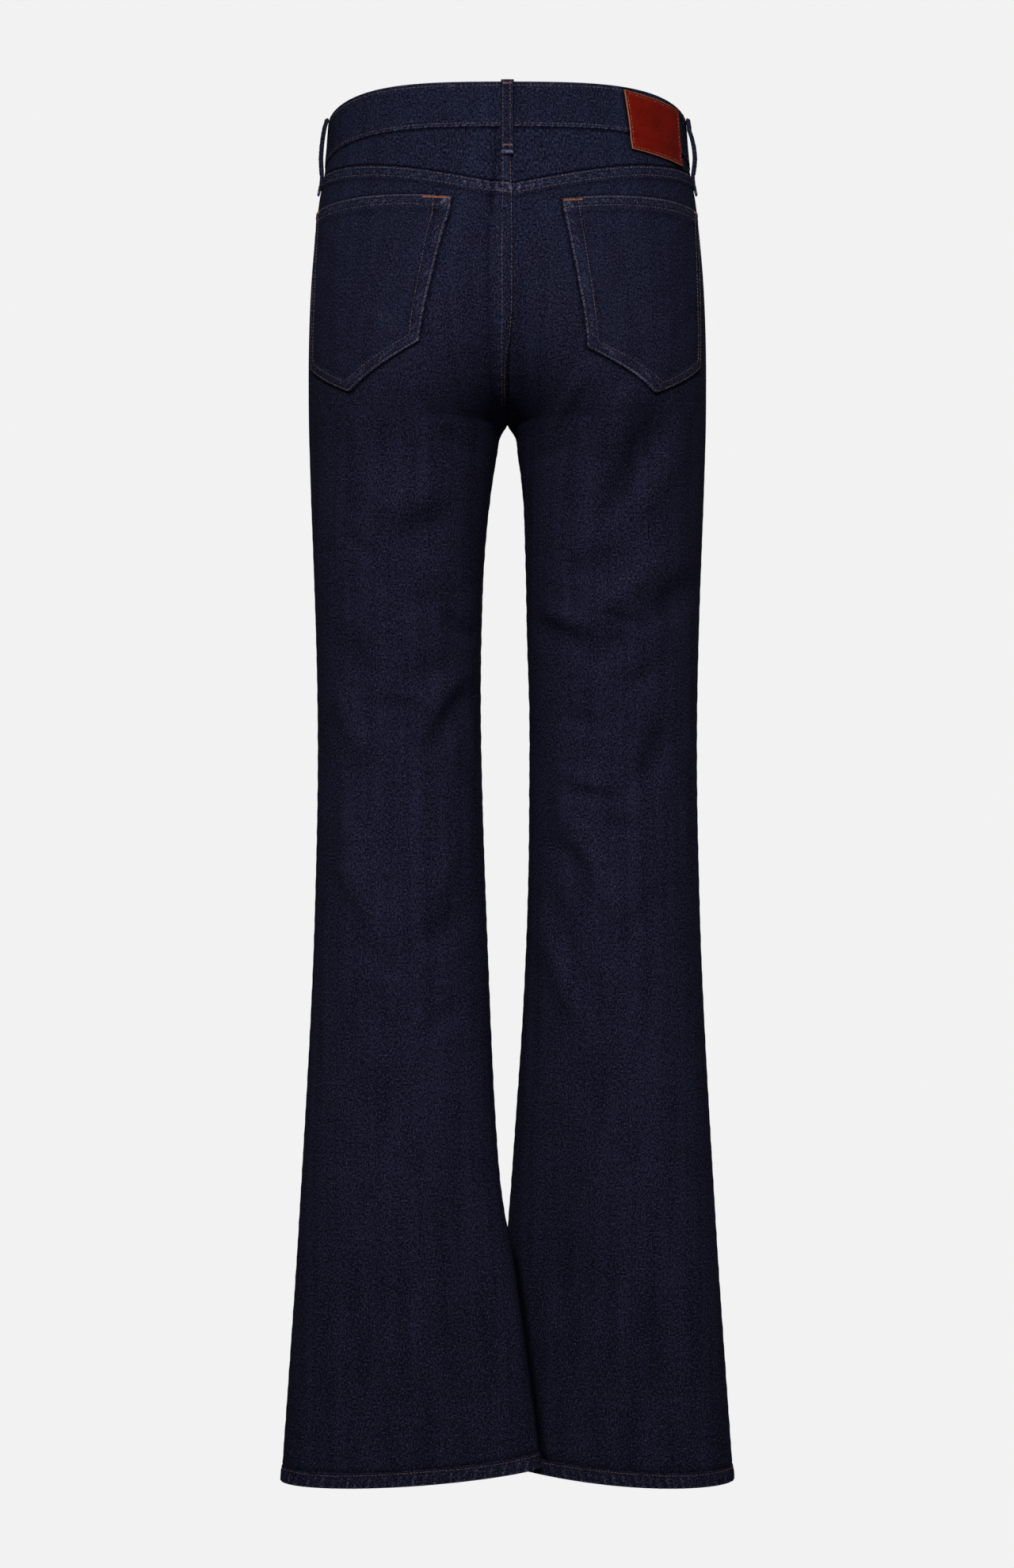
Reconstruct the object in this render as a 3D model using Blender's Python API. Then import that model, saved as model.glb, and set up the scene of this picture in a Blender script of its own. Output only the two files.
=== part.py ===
"""Bootcut jeans, filled out as they are worn, open at the waist and at both hems.

All the cloth lies along one surface, which the table SECTIONS gives: at each height, how wide
and how deep the garment is, and where each leg's inner edge runs. A point on the surface is
named by a half (LEFT or RIGHT, the wearer's), a turn in degrees round that half and a height.
Turn 0 is the inseam, 90 the middle of the back, 180 the outer side and -90 the middle of the
front. Above the crotch a half stops at the centre plane, at the turn that centre_turn() gives.

Sizes are in millimetres, and finish_piece() makes them metres. +X is the wearer's left, +Y the
back and +Z up. The origin is the middle of the waist opening, at mid height of the waistband's
side.
"""
import math

import bmesh
import bpy
import numpy as np
from mathutils import Vector

LEFT, RIGHT = 1, -1
BACK, FRONT = 1, -1
METRE = 1000.0

# Cloth and seams
DENIM = 1.4
SEAM_GAP = 0.3
LAID_GAP = 0.5
UNDER_GAP = 0.9

# Waist
WAIST_SIDE_HEIGHT = 13.5
WAIST_TILT = 28.5
WAIST_DISH_BACK = 9.4
WAIST_DISH_FRONT = -3.5
WAISTBAND_WIDTH = 36.5
WAISTBAND_THICKNESS = 2.8
WAISTBAND_PROUD = 0.8
WAISTBAND_RAMP = 4.0
LAP_OVER_TURN = 5.9
LAP_UNDER_TURN = 9.9
LAP_RISE_FROM, LAP_RISE_TO = 146.0, 165.0

# Rise and legs
RISE_TOP = -20.0
CROTCH = -230.0
RISE_POWER = 2.4
CREASE_AT_SEAT = 10.0
CREASE_FULL_BY = -110.0
CREASE_FADES_BY = -310.0
SEAM_TURN = 3.0
INSEAM_TURNED_BY = -290.0
TIP_SHIFT = 31.0
TIP_TAPER = 0.35
YOKE_CENTRE = -50.0
YOKE_SIDE = -29.5
YOKE_POWER = 2.5
HEM_MIDDLE = {LEFT: -1077.2, RIGHT: -1079.5}
HEM_TILT = {LEFT: 8.0, RIGHT: 4.8}
HEM_CUP = 3.6
HEM_HEIGHT = 13.0
HEM_THICKNESS = 2.6
HEM_PROUD = 0.6

# The seat seam and the fly, where the left panel lies over the right one: the lap's width, and
# the heights between which it narrows to nothing and below which it has sunk to the seam
LAP_LIFT = 1.95
SEAT_LAP = {"width": 4.5, "full_above": -172.0, "narrow_below": -194.0, "gone_below": -214.0}
FLY_LAP = {"width": 6.0, "full_above": -128.0, "narrow_below": -150.0, "gone_below": -186.0}

SECTION_COLUMNS = ("height", "side", "gap_left", "gap_right", "front", "back", "tip")
SECTIONS = (
    (45.0, 142.5, 0.0, 0.0, 94.0, 91.0, 0.0),
    (17.0, 143.6, 0.0, 0.0, 95.0, 94.0, 0.0),
    (-20.0, 146.4, 0.0, 0.0, 97.0, 101.0, 0.0),
    (-49.0, 151.8, 0.0, 0.0, 100.0, 109.0, 0.0),
    (-77.0, 155.0, 0.0, 0.0, 104.0, 117.0, 0.0),
    (-109.0, 157.8, 0.0, 0.0, 107.0, 124.0, 0.0),
    (-141.0, 159.5, 0.0, 0.0, 108.0, 127.0, 0.0),
    (-173.0, 160.3, 0.0, 0.0, 106.0, 125.0, 0.0),
    (-205.0, 160.4, 0.0, 0.0, 101.0, 117.0, 0.0),
    (-230.0, 160.2, 0.0, 0.0, 95.0, 106.0, 0.0),
    (-236.0, 160.1, 4.4, 4.8, 93.8, 103.8, 0.0),
    (-254.0, 159.6, 8.4, 8.4, 91.5, 97.0, 0.0),
    (-286.0, 158.6, 13.4, 12.4, 89.0, 90.0, 0.0),
    (-334.0, 156.8, 18.2, 14.4, 85.0, 83.0, 0.0),
    (-398.0, 154.6, 20.8, 15.7, 79.0, 76.0, 0.0),
    (-461.0, 153.3, 21.4, 17.6, 71.0, 68.0, 0.0),
    (-525.0, 153.3, 20.2, 17.6, 66.0, 64.0, 0.05),
    (-589.0, 154.6, 18.2, 17.0, 65.0, 66.0, 0.12),
    (-653.0, 156.5, 15.7, 15.0, 66.0, 68.0, 0.20),
    (-717.0, 159.4, 13.1, 11.8, 66.0, 68.0, 0.30),
    (-781.0, 162.9, 9.9, 7.4, 65.0, 67.0, 0.42),
    (-845.0, 166.7, 4.8, 2.9, 64.0, 65.0, 0.58),
    (-909.0, 170.6, -6.1, -2.0, 62.0, 63.0, 0.78),
    (-973.0, 175.0, -15.0, -5.0, 60.0, 61.0, 0.90),
    (-1037.0, 179.5, -23.4, -8.0, 58.0, 59.0, 0.97),
    (-1090.0, 183.3, -30.0, -10.0, 57.0, 57.0, 1.00),
)

# Folds: a soft ridge (height above 0) or trough (below 0) along a line on the face named,
# as seen straight on. The width is from the line to where about a third of the fold is left.
# A fold fades out where the cloth turns away to the side, past FOLD_TURNS_AWAY.
FOLD_TURNS_AWAY = 0.45
FOLD_COLUMNS = ("face", "from_x", "from_z", "to_x", "to_z", "width", "height")
FOLDS = (
    (BACK, 101.0, -295.0, 58.0, -284.0, 16.0, 3.0),
    (BACK, 92.0, -322.0, 46.0, -300.0, 11.0, -4.5),
    (BACK, 90.0, -372.0, 36.0, -364.0, 11.0, -2.5),
    (BACK, 132.0, -395.0, 113.0, -428.0, 10.0, -3.5),
    (BACK, 90.0, -431.0, 30.0, -420.0, 10.0, -2.5),
    (BACK, 134.0, -436.0, 112.0, -492.0, 11.0, 4.0),
    (BACK, 36.0, -416.0, 70.0, -470.0, 12.0, 3.5),
    (BACK, 28.0, -434.0, 66.0, -494.0, 10.0, -5.0),
    (BACK, 126.0, -534.0, 112.0, -606.0, 11.0, 3.5),
    (BACK, 46.0, -562.0, 58.0, -606.0, 10.0, 3.0),
    (BACK, 38.0, -618.0, 64.0, -638.0, 12.0, -4.0),
    (BACK, 54.0, -790.0, 24.0, -1030.0, 22.0, -3.5),
    (BACK, -94.0, -200.0, -76.0, -258.0, 11.0, 4.5),
    (BACK, -130.0, -206.0, -68.0, -316.0, 11.0, -6.5),
    (BACK, -134.0, -244.0, -98.0, -304.0, 14.0, 3.0),
    (BACK, -46.0, -346.0, -86.0, -334.0, 10.0, -3.5),
    (BACK, -30.0, -378.0, -62.0, -390.0, 10.0, 3.5),
    (BACK, -60.0, -388.0, -122.0, -334.0, 11.0, 4.0),
    (BACK, -152.0, -350.0, -112.0, -384.0, 11.0, -4.5),
    (BACK, -24.0, -386.0, -62.0, -404.0, 10.0, -4.5),
    (BACK, -60.0, -416.0, -98.0, -394.0, 10.0, -4.0),
    (BACK, -132.0, -462.0, -102.0, -520.0, 10.0, -4.5),
    (BACK, -46.0, -504.0, -84.0, -522.0, 10.0, 3.5),
    (BACK, -40.0, -516.0, -98.0, -634.0, 11.0, 4.0),
    (BACK, -30.0, -620.0, -58.0, -708.0, 11.0, 3.5),
    (BACK, -44.0, -784.0, -44.0, -952.0, 15.0, -3.0),
    (BACK, -115.0, -908.0, -115.0, -1020.0, 17.0, -3.5),
    (FRONT, 128.0, -142.0, 40.0, -196.0, 12.0, -4.0),
    (FRONT, 136.0, -176.0, 46.0, -214.0, 11.0, -4.0),
    (FRONT, 132.0, -222.0, 44.0, -246.0, 13.0, -3.5),
    (FRONT, 130.0, -428.0, 44.0, -446.0, 13.0, 3.5),
    (FRONT, 128.0, -462.0, 50.0, -484.0, 12.0, -4.0),
    (FRONT, 60.0, -900.0, 128.0, -960.0, 16.0, -3.5),
    (FRONT, -122.0, -138.0, -38.0, -190.0, 12.0, -4.0),
    (FRONT, -134.0, -184.0, -42.0, -216.0, 11.0, -4.0),
    (FRONT, -130.0, -216.0, -48.0, -252.0, 13.0, -3.5),
    (FRONT, -126.0, -436.0, -40.0, -424.0, 13.0, 3.5),
    (FRONT, -130.0, -474.0, -46.0, -462.0, 12.0, -4.0),
    (FRONT, -128.0, -890.0, -64.0, -950.0, 16.0, -3.5),
)

# Grids: columns across a piece and rows down it
PANEL_COLUMNS = 15
RISE_ROWS = 10
RISE_ROW_POWER_CENTRE, RISE_ROW_POWER_SIDE = 1.7, 1.0
BACK_LEG_ROWS = 38
FRONT_LEG_ROWS = 28
LEG_ROW_POWER = 1.35
CROTCH_ROW_TILT = 14.0
YOKE_COLUMNS, YOKE_ROWS = 14, 3
FACING_COLUMNS, FACING_ROWS = 9, 7
WAISTBAND_COLUMNS, WAISTBAND_ROWS = 74, 2
POCKET_COLUMNS, POCKET_ROWS = 10, 11
PATCH_COLUMNS, PATCH_ROWS = 6, 8
LOOP_COLUMNS, LOOP_ROWS = 2, 12
HEM_SEGMENTS = 56
BUTTON_SEGMENTS = 28

# Small steps along the surface, for its normals and speeds; and the angle of a sharp edge
TURN_STEP = 0.5
HEIGHT_STEP = 1.0
SHARP_ANGLE = 50.0

# Front pockets
SCOOP_WIDTH = 95.0
SCOOP_DEPTH = 70.0
SCOOP_POWER = 1.8
FRONT_WAIST_ARC = 190.0
FACING_WIDTH = 114.0
FACING_DEPTH = 92.0

# Back pockets: corners as (distance from the centre back seam along the cloth, height)
POCKET_DENIM = 1.4
POCKETS = {
    "back_pocket_left": {
        "half": LEFT,
        "top_inner": (43.0, -60.5), "top_outer": (193.0, -60.5), "top_rise": 4.5,
        "bottom_inner": (71.0, -175.0), "tip": (143.0, -212.0), "bottom_outer": (200.0, -189.0),
    },
    "back_pocket_right": {
        "half": RIGHT,
        "top_inner": (42.0, -62.5), "top_outer": (190.0, -61.0), "top_rise": 5.0,
        "bottom_inner": (65.0, -180.0), "tip": (139.0, -213.0), "bottom_outer": (190.0, -188.5),
    },
}

# Leather patch: corners as (distance from the centre back along the cloth, height)
PATCH_THICKNESS = 1.6
PATCH_CORNERS = {
    "top_inner": (94.5, 29.3), "top_outer": (153.5, 19.7),
    "bottom_inner": (102.5, -17.9), "bottom_outer": (160.8, -25.8),
}

# Belt loops: the turn at a loop's middle, its length, how far its top stands above the
# waistband's edge, and how far its middle stands off the cloth. The other values are shares of
# a loop's length: where its lower, sewn end begins, where it is pressed thin, and where it
# comes down off the waistband.
LOOP_WIDTH = 10.0
LOOP_THICKNESS = 2.8
LOOP_SEWN_THICKNESS = 2.0
LOOP_BOW = 0.7
LOOP_ON_BAND_TO = 0.5
LOOP_SEWN_FROM = 0.74
LOOP_PRESSED_FROM, LOOP_PRESSED_TO = 0.69, 0.84
LOOP_FIELDS = ("name", "half", "turn", "length", "top", "bulge")
LOOPS = (
    ("belt_loop_centre_back", LEFT, 90.0, 59.0, 1.0, 1.2),
    ("belt_loop_side_left", LEFT, 176.0, 62.0, 3.0, 1.8),
    ("belt_loop_side_right", RIGHT, 176.0, 62.0, 3.0, 1.8),
    ("belt_loop_front_left", LEFT, -126.0, 60.0, 1.0, 1.6),
    ("belt_loop_front_right", RIGHT, -126.0, 60.0, 1.0, 1.6),
)

# Waist button
BUTTON_RADIUS = 8.5
BUTTON_THICKNESS = 2.4
BUTTON_EDGE = 0.6

# Finishes: base colour, roughness, metallic
DENIM_FINISH = ((0.012, 0.014, 0.028), 0.85, 0.0)
FACING_FINISH = ((0.014, 0.016, 0.032), 0.85, 0.0)
LEATHER_FINISH = ((0.085, 0.013, 0.008), 0.6, 0.0)
BRASS_FINISH = ((0.30, 0.17, 0.09), 0.35, 1.0)


# ---- The surface -------------------------------------------------------------------------

TABLE = {name: np.array(values) for name, values in zip(SECTION_COLUMNS, zip(*SECTIONS))}
FOLD_LIST = [dict(zip(FOLD_COLUMNS, row)) for row in FOLDS]


def read(column, height):
    """A column of SECTIONS at any height, on a smooth curve through its rows."""
    heights = TABLE["height"][::-1]
    values = TABLE[column][::-1]
    slopes = np.gradient(values, heights)
    height = np.clip(height, heights[0], heights[-1])
    row = np.clip(np.searchsorted(heights, height) - 1, 0, len(heights) - 2)
    span = heights[row + 1] - heights[row]
    along = (height - heights[row]) / span
    start = (1 + 2 * along) * (1 - along) ** 2 * values[row]
    end = along ** 2 * (3 - 2 * along) * values[row + 1]
    lean = along * (1 - along) * span * ((1 - along) * slopes[row] - along * slopes[row + 1])
    return start + end + lean


def ease(value, low, high):
    """0 below low, 1 above high, and a smooth step between them."""
    along = np.clip((np.asarray(value, dtype=float) - low) / (high - low), 0.0, 1.0)
    return along * along * (3 - 2 * along)


def rise_ratio(height):
    """0 at the waist, where a half is half an oval, and 1 at the crotch, where it is a leg."""
    fall = (RISE_TOP - np.asarray(height, dtype=float)) / (RISE_TOP - CROTCH)
    return np.clip(fall, 0.0, 1.0) ** RISE_POWER


def centre_turn(height):
    """The turn at which a half meets the centre plane, 0 at the crotch and below it."""
    return np.degrees(np.arccos(rise_ratio(height)))


def seat_crease(height):
    """How softly the two halves run into each other at the centre plane."""
    above = ease(-np.asarray(height, dtype=float), -RISE_TOP, -CREASE_FULL_BY)
    return CREASE_AT_SEAT * above * ease(height, CREASE_FADES_BY, CROTCH)


def outline(half, turn, height):
    """Across, depth of the plain surface, with across growing from the centre plane outwards."""
    turn = (np.asarray(turn, dtype=float) + 180.0) % 360.0 - 180.0
    height = np.asarray(height, dtype=float)
    centre = centre_turn(height)
    beyond = np.abs(turn) < centre
    turn = np.where(beyond, np.where(turn < 0, -1.0, 1.0) * (2 * centre - np.abs(turn)), turn)
    angle = np.radians(turn)
    side = read("side", height)
    gap = read("gap_left" if half == LEFT else "gap_right", height)
    crease = seat_crease(height)
    ratio = rise_ratio(height)
    outer = np.sqrt(side ** 2 + crease ** 2)
    inner = np.where(gap > 0, np.sqrt(gap ** 2 + crease ** 2), np.where(gap < 0, gap, crease))
    below = height < CROTCH
    radius = np.where(below, (outer - inner) / 2, (outer - crease) / (1 + ratio))
    middle = np.where(below, (outer + inner) / 2, crease + ratio * radius)
    reach = middle - radius * np.cos(angle)
    across = np.where(crease > 0, np.sqrt(np.maximum(reach ** 2 - crease ** 2, 0.0)), reach)
    depth = np.where(np.sin(angle) >= 0, read("back", height), read("front", height))
    tip = read("tip", height)
    near_tip = (1 + np.cos(angle)) / 2
    depth = depth * np.sin(angle) * (1 - TIP_TAPER * tip * near_tip)
    depth = depth + half * TIP_SHIFT * tip * near_tip ** 2
    return np.where(beyond, -across, across), depth


def fold_height(half, turn, across, height):
    """How far the folds lift the cloth at a point of the plain surface."""
    turn = (np.asarray(turn, dtype=float) + 180.0) % 360.0 - 180.0
    facing = np.sin(np.radians(turn))
    x = half * across
    total = np.zeros_like(x)
    for fold in FOLD_LIST:
        run_x = fold["to_x"] - fold["from_x"]
        run_z = fold["to_z"] - fold["from_z"]
        length = math.hypot(run_x, run_z)
        along = ((x - fold["from_x"]) * run_x + (height - fold["from_z"]) * run_z) / length
        aside = ((x - fold["from_x"]) * run_z - (height - fold["from_z"]) * run_x) / length
        ends = ease(along, -fold["width"], length / 3)
        ends = ends * ease(length - along, -fold["width"], length / 3)
        total += fold["height"] * np.exp(-(aside / fold["width"]) ** 2) * ends * (
            ease(fold["face"] * facing, 0.0, FOLD_TURNS_AWAY))
    return total


def surface(half, turn, height):
    """Points of the cloth's outer face, in the garment's own frame."""
    across, depth = outline(half, turn, height)
    across_before, depth_before = outline(half, np.asarray(turn) - TURN_STEP, height)
    across_after, depth_after = outline(half, np.asarray(turn) + TURN_STEP, height)
    run_across = across_after - across_before
    run_depth = depth_after - depth_before
    speed = np.maximum(np.hypot(run_across, run_depth), 1e-6)
    fold = fold_height(half, turn, across, height)
    across = across - fold * run_depth / speed
    depth = depth + fold * run_across / speed
    return np.stack([half * across, depth, np.broadcast_to(height, across.shape)], axis=-1)


def outward(half, turn, height):
    """Unit normals of the surface, pointing out of the garment."""
    run = surface(half, turn + TURN_STEP, height) - surface(half, turn - TURN_STEP, height)
    fall = surface(half, turn, height - HEIGHT_STEP) - surface(half, turn, height + HEIGHT_STEP)
    normal = half * np.cross(run, fall)
    return normal / np.linalg.norm(normal, axis=-1, keepdims=True)


def turn_speed(half, turn, height):
    """Millimetres along the cloth for each degree of turn."""
    before = surface(half, turn - TURN_STEP, height)
    after = surface(half, turn + TURN_STEP, height)
    return np.linalg.norm(after - before, axis=-1) / (2 * TURN_STEP)


def inner_turn(face, height):
    """The turn of a panel's inner edge: the centre seam, and below the crotch the inseam."""
    inseam = -SEAM_TURN * ease(-np.asarray(height, dtype=float), -CROTCH, -INSEAM_TURNED_BY)
    return np.where(np.asarray(height) >= CROTCH, face * centre_turn(height), inseam)


def turn_at(half, face, distance, height):
    """The turn at a distance along the cloth from the centre seam or the inseam."""
    steps = np.arange(0.0, 180.0 + SEAM_TURN + 1.0)
    turns = []
    for reach, level in zip(np.ravel(distance), np.ravel(height)):
        start = float(inner_turn(face, level))
        run = start + face * steps
        points = surface(half, run, np.full(run.shape, level))
        pieces = np.linalg.norm(np.diff(points, axis=0), axis=1)
        lengths = np.concatenate([[0.0], np.cumsum(pieces)])
        found = np.interp(abs(reach), lengths, run)
        turns.append(found if reach >= 0 else 2 * start - found)
    return np.array(turns).reshape(np.shape(distance))


# ---- Named lines on the surface ----------------------------------------------------------

def waist_top(turn):
    """Height of the waistband's upper edge: high at the back and low at the front."""
    rise = np.sin(np.radians(turn))
    dish = np.where(rise > 0, WAIST_DISH_BACK, WAIST_DISH_FRONT)
    return WAIST_SIDE_HEIGHT + WAIST_TILT * rise - dish * rise ** 4


def waist_seam(turn):
    """Height of the waistband's lower edge."""
    return waist_top(turn) - WAISTBAND_WIDTH


def yoke_seam(share):
    """Height of the seam under the yoke, from 0 at the centre back to 1 at the side."""
    to_side = 1 - np.clip(share, 0.0, 1.0)
    return YOKE_CENTRE + (YOKE_SIDE - YOKE_CENTRE) * (1 - to_side ** YOKE_POWER)


def scoop(share):
    """How far the front pocket's curved opening cuts down into the front panel."""
    from_side = (1 - np.clip(share, 0.0, 1.0)) * FRONT_WAIST_ARC / SCOOP_WIDTH
    return SCOOP_DEPTH * np.maximum(1 - from_side ** SCOOP_POWER, 0.0) ** (1 / SCOOP_POWER)


def hem_line(half, turn):
    """Height of the hem's lower edge, higher at the inseam than at the outer side."""
    inwards = np.cos(np.radians(turn))
    return HEM_MIDDLE[half] + HEM_TILT[half] * inwards + HEM_CUP * inwards ** 2


def edge_turn(half, face, height):
    """The turn of a panel's outer edge, half a seam gap short of the side seam."""
    seam = np.full(np.shape(height), 180.0 + SEAM_TURN)
    short = (SEAM_GAP / 2) / turn_speed(half, seam, height)
    return np.where(face == BACK, seam - short, seam - 360.0 + short)


# ---- Making pieces -----------------------------------------------------------------------

def material(name, finish):
    """A Principled BSDF with one base colour, roughness and metallic value."""
    colour, roughness, metallic = finish
    made = bpy.data.materials.new(name)
    made.use_nodes = True
    shader = made.node_tree.nodes["Principled BSDF"]
    shader.inputs["Base Color"].default_value = (*colour, 1.0)
    shader.inputs["Roughness"].default_value = roughness
    shader.inputs["Metallic"].default_value = metallic
    return made


def finish_piece(name, shape, finish, collection):
    """Turn a bmesh in millimetres into a named object in metres."""
    bmesh.ops.scale(shape, vec=(1 / METRE, 1 / METRE, 1 / METRE), verts=shape.verts)
    bmesh.ops.recalc_face_normals(shape, faces=shape.faces)
    mesh = bpy.data.meshes.new(name)
    shape.to_mesh(mesh)
    shape.free()
    mesh.shade_smooth()
    mesh.set_sharp_from_angle(angle=math.radians(SHARP_ANGLE))
    mesh.materials.append(material(name, finish))
    made = bpy.data.objects.new(name, mesh)
    collection.objects.link(made)
    return made


def wall(name, shape, place, finish, collection):
    """Double the faces of a flat pattern, and lay both layers where place() puts them."""
    doubled = bmesh.ops.extrude_face_region(shape, geom=shape.faces[:])
    outer = [part for part in doubled["geom"] if isinstance(part, bmesh.types.BMVert)]
    chosen = set(outer)
    inner = [vert for vert in shape.verts if vert not in chosen]
    for verts, layer in ((outer, "outer"), (inner, "inner")):
        pattern = np.array([vert.co[:] for vert in verts])
        for vert, point in zip(verts, place(pattern, layer)):
            vert.co = point
    return finish_piece(name, shape, finish, collection)


def pattern_grid(columns, rows):
    """A flat grid from 0 to 1 both ways: x across the piece and y down it."""
    shape = bmesh.new()
    bmesh.ops.create_grid(shape, x_segments=columns, y_segments=rows, size=0.5)
    bmesh.ops.translate(shape, vec=(0.5, 0.5, 0.0), verts=shape.verts)
    return shape


def keep_clear(points, half, least):
    """Hold points near the crotch on their own side of the centre plane."""
    near = points[:, 2] > CREASE_FADES_BY
    across = np.where(near, np.maximum(half * points[:, 0], least), half * points[:, 0])
    points[:, 0] = half * across
    return points


def panel(name, half, face, leg_rows, top_height, lap, collection):
    """A front or back leg panel, from its top edge to the hem."""
    rows = RISE_ROWS + leg_rows
    lapped = half == LEFT

    def height_at(share, row):
        crotch_row = CROTCH + CROTCH_ROW_TILT * share
        rising = np.clip(1 - row / RISE_ROWS, 0.0, 1.0)
        power = RISE_ROW_POWER_CENTRE + (RISE_ROW_POWER_SIDE - RISE_ROW_POWER_CENTRE) * share
        above = crotch_row + (top_height(share) - crotch_row) * rising ** power
        going_down = np.clip((row - RISE_ROWS) / leg_rows, 0.0, 1.0) ** LEG_ROW_POWER
        turn = -SEAM_TURN + (face * 180.0 + 2 * SEAM_TURN) * share
        bottom = hem_line(half, turn) + HEM_HEIGHT + SEAM_GAP
        return np.where(row > RISE_ROWS, crotch_row + (bottom - crotch_row) * going_down, above)

    def place(pattern, layer):
        column = np.rint(pattern[:, 0] * PANEL_COLUMNS)
        row = np.rint(pattern[:, 1] * rows)
        height = height_at(np.zeros_like(row), row)
        start = inner_turn(face, height)
        speed = turn_speed(half, start, height)
        spread = np.abs(edge_turn(half, face, height) - start)
        narrow = ease(height, lap["narrow_below"], lap["full_above"]) if lapped else 0.0
        first = np.where(height < CROTCH, SEAM_GAP / 2, -lap["width"] * narrow)
        first_share = first / speed / spread
        second_share = lap["width"] / speed / spread
        share = second_share + (1 - second_share) * (column - 1) / (PANEL_COLUMNS - 1)
        share = np.where(column == 0, first_share, share)
        height = height_at(share, row)
        start = inner_turn(face, height)
        turn = start + (edge_turn(half, face, height) - start) * share
        sunk = ease(height, lap["gone_below"], lap["narrow_below"]) if lapped else 0.0
        depth = np.where(column <= 1, LAP_LIFT * sunk, 0.0) - (DENIM if layer == "inner" else 0.0)
        normals = outward(half, turn, height)
        normals[(column == 0) & (height >= CROTCH), 0] = 0.0
        at_crotch = (column == 0) & (row == RISE_ROWS)
        normals[at_crotch] = (0.0, 0.0, -1.0)
        normals /= np.linalg.norm(normals, axis=1, keepdims=True)
        points = surface(half, turn, height) + normals * depth[:, None]
        points = keep_clear(points, half, SEAM_GAP / 2 - (lap["width"] + SEAM_GAP) * narrow)
        points[at_crotch, 1] = face * SEAM_GAP / 2
        return points

    return wall(name, pattern_grid(PANEL_COLUMNS, rows), place, DENIM_FINISH, collection)


def back_top(share):
    """Height of the back panel's upper edge."""
    return yoke_seam(share) - SEAM_GAP / 2


def front_top(share):
    """Height of the front panel's upper edge, cut away for the front pocket."""
    return waist_seam(-90.0 - (90.0 - SEAM_TURN) * share) - SEAM_GAP - scoop(share)


def yoke(name, half, collection):
    """The pointed piece between the waistband and the back panel."""
    def place(pattern, layer):
        across, down = pattern[:, 0], pattern[:, 1]
        top = waist_seam(90.0 + (90.0 + SEAM_TURN) * across) - SEAM_GAP
        bottom = yoke_seam(across) + SEAM_GAP / 2
        height = top + (bottom - top) * down
        start = inner_turn(BACK, height)
        turn = start + (edge_turn(half, BACK, height) - start) * across
        normals = outward(half, turn, height)
        normals[across < 1e-6, 0] = 0.0
        normals /= np.linalg.norm(normals, axis=1, keepdims=True)
        depth = 0.0 if layer == "outer" else -DENIM
        points = surface(half, turn, height) + normals * depth
        return keep_clear(points, half, np.full(height.shape, SEAM_GAP / 2))

    return wall(name, pattern_grid(YOKE_COLUMNS, YOKE_ROWS), place, DENIM_FINISH, collection)


def facing(name, half, collection):
    """The denim that shows in the front pocket's opening, behind the front panel."""
    first = 1 - FACING_WIDTH / FRONT_WAIST_ARC

    def place(pattern, layer):
        across, down = first + (1 - first) * pattern[:, 0], pattern[:, 1]
        top = waist_seam(-90.0 - (90.0 - SEAM_TURN) * across) - SEAM_GAP
        height = top - FACING_DEPTH * down
        start = inner_turn(FRONT, height)
        turn = start + (edge_turn(half, FRONT, height) - start) * across
        depth = -DENIM - UNDER_GAP - (DENIM if layer == "inner" else 0.0)
        return surface(half, turn, height) + outward(half, turn, height) * depth

    grid = pattern_grid(FACING_COLUMNS, FACING_ROWS)
    return wall(name, grid, place, FACING_FINISH, collection)


def waistband(name, collection):
    """One strip round the waist, whose left end laps over its right end at the front."""
    first, last = -(180.0 + LAP_UNDER_TURN), 180.0 + LAP_OVER_TURN

    def place(pattern, layer):
        round_waist = first + (last - first) * pattern[:, 0]
        points = np.zeros((len(pattern), 3))
        for half in (LEFT, RIGHT):
            own = (round_waist >= 0) if half == LEFT else (round_waist < 0)
            turn = 90.0 + np.abs(round_waist[own])
            height = waist_top(turn) - WAISTBAND_WIDTH * pattern[own, 1]
            lift = np.full(turn.shape, WAISTBAND_PROUD)
            if half == LEFT:
                raised = WAISTBAND_THICKNESS + LAID_GAP
                lift = lift + raised * ease(turn - 90.0, LAP_RISE_FROM, LAP_RISE_TO)
            if layer == "inner":
                lift = lift - WAISTBAND_THICKNESS
            normals = outward(half, turn, height)
            points[own] = surface(half, turn, height) + normals * lift[:, None]
        return points

    grid = pattern_grid(WAISTBAND_COLUMNS, WAISTBAND_ROWS)
    return wall(name, grid, place, DENIM_FINISH, collection)


def band_proud(turn, height):
    """How far the waistband's face stands off the surface at a height."""
    seam = waist_seam(turn)
    return WAISTBAND_PROUD * ease(height, seam - WAISTBAND_RAMP, seam)


def laid(half, turn, height, gap, thickness, layer):
    """Points of a piece that lies on the cloth, on whatever is under it there."""
    depth = band_proud(turn, height) + gap + (thickness if layer == "outer" else 0.0)
    return surface(half, turn, height) + outward(half, turn, height) * depth[:, None]


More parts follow.
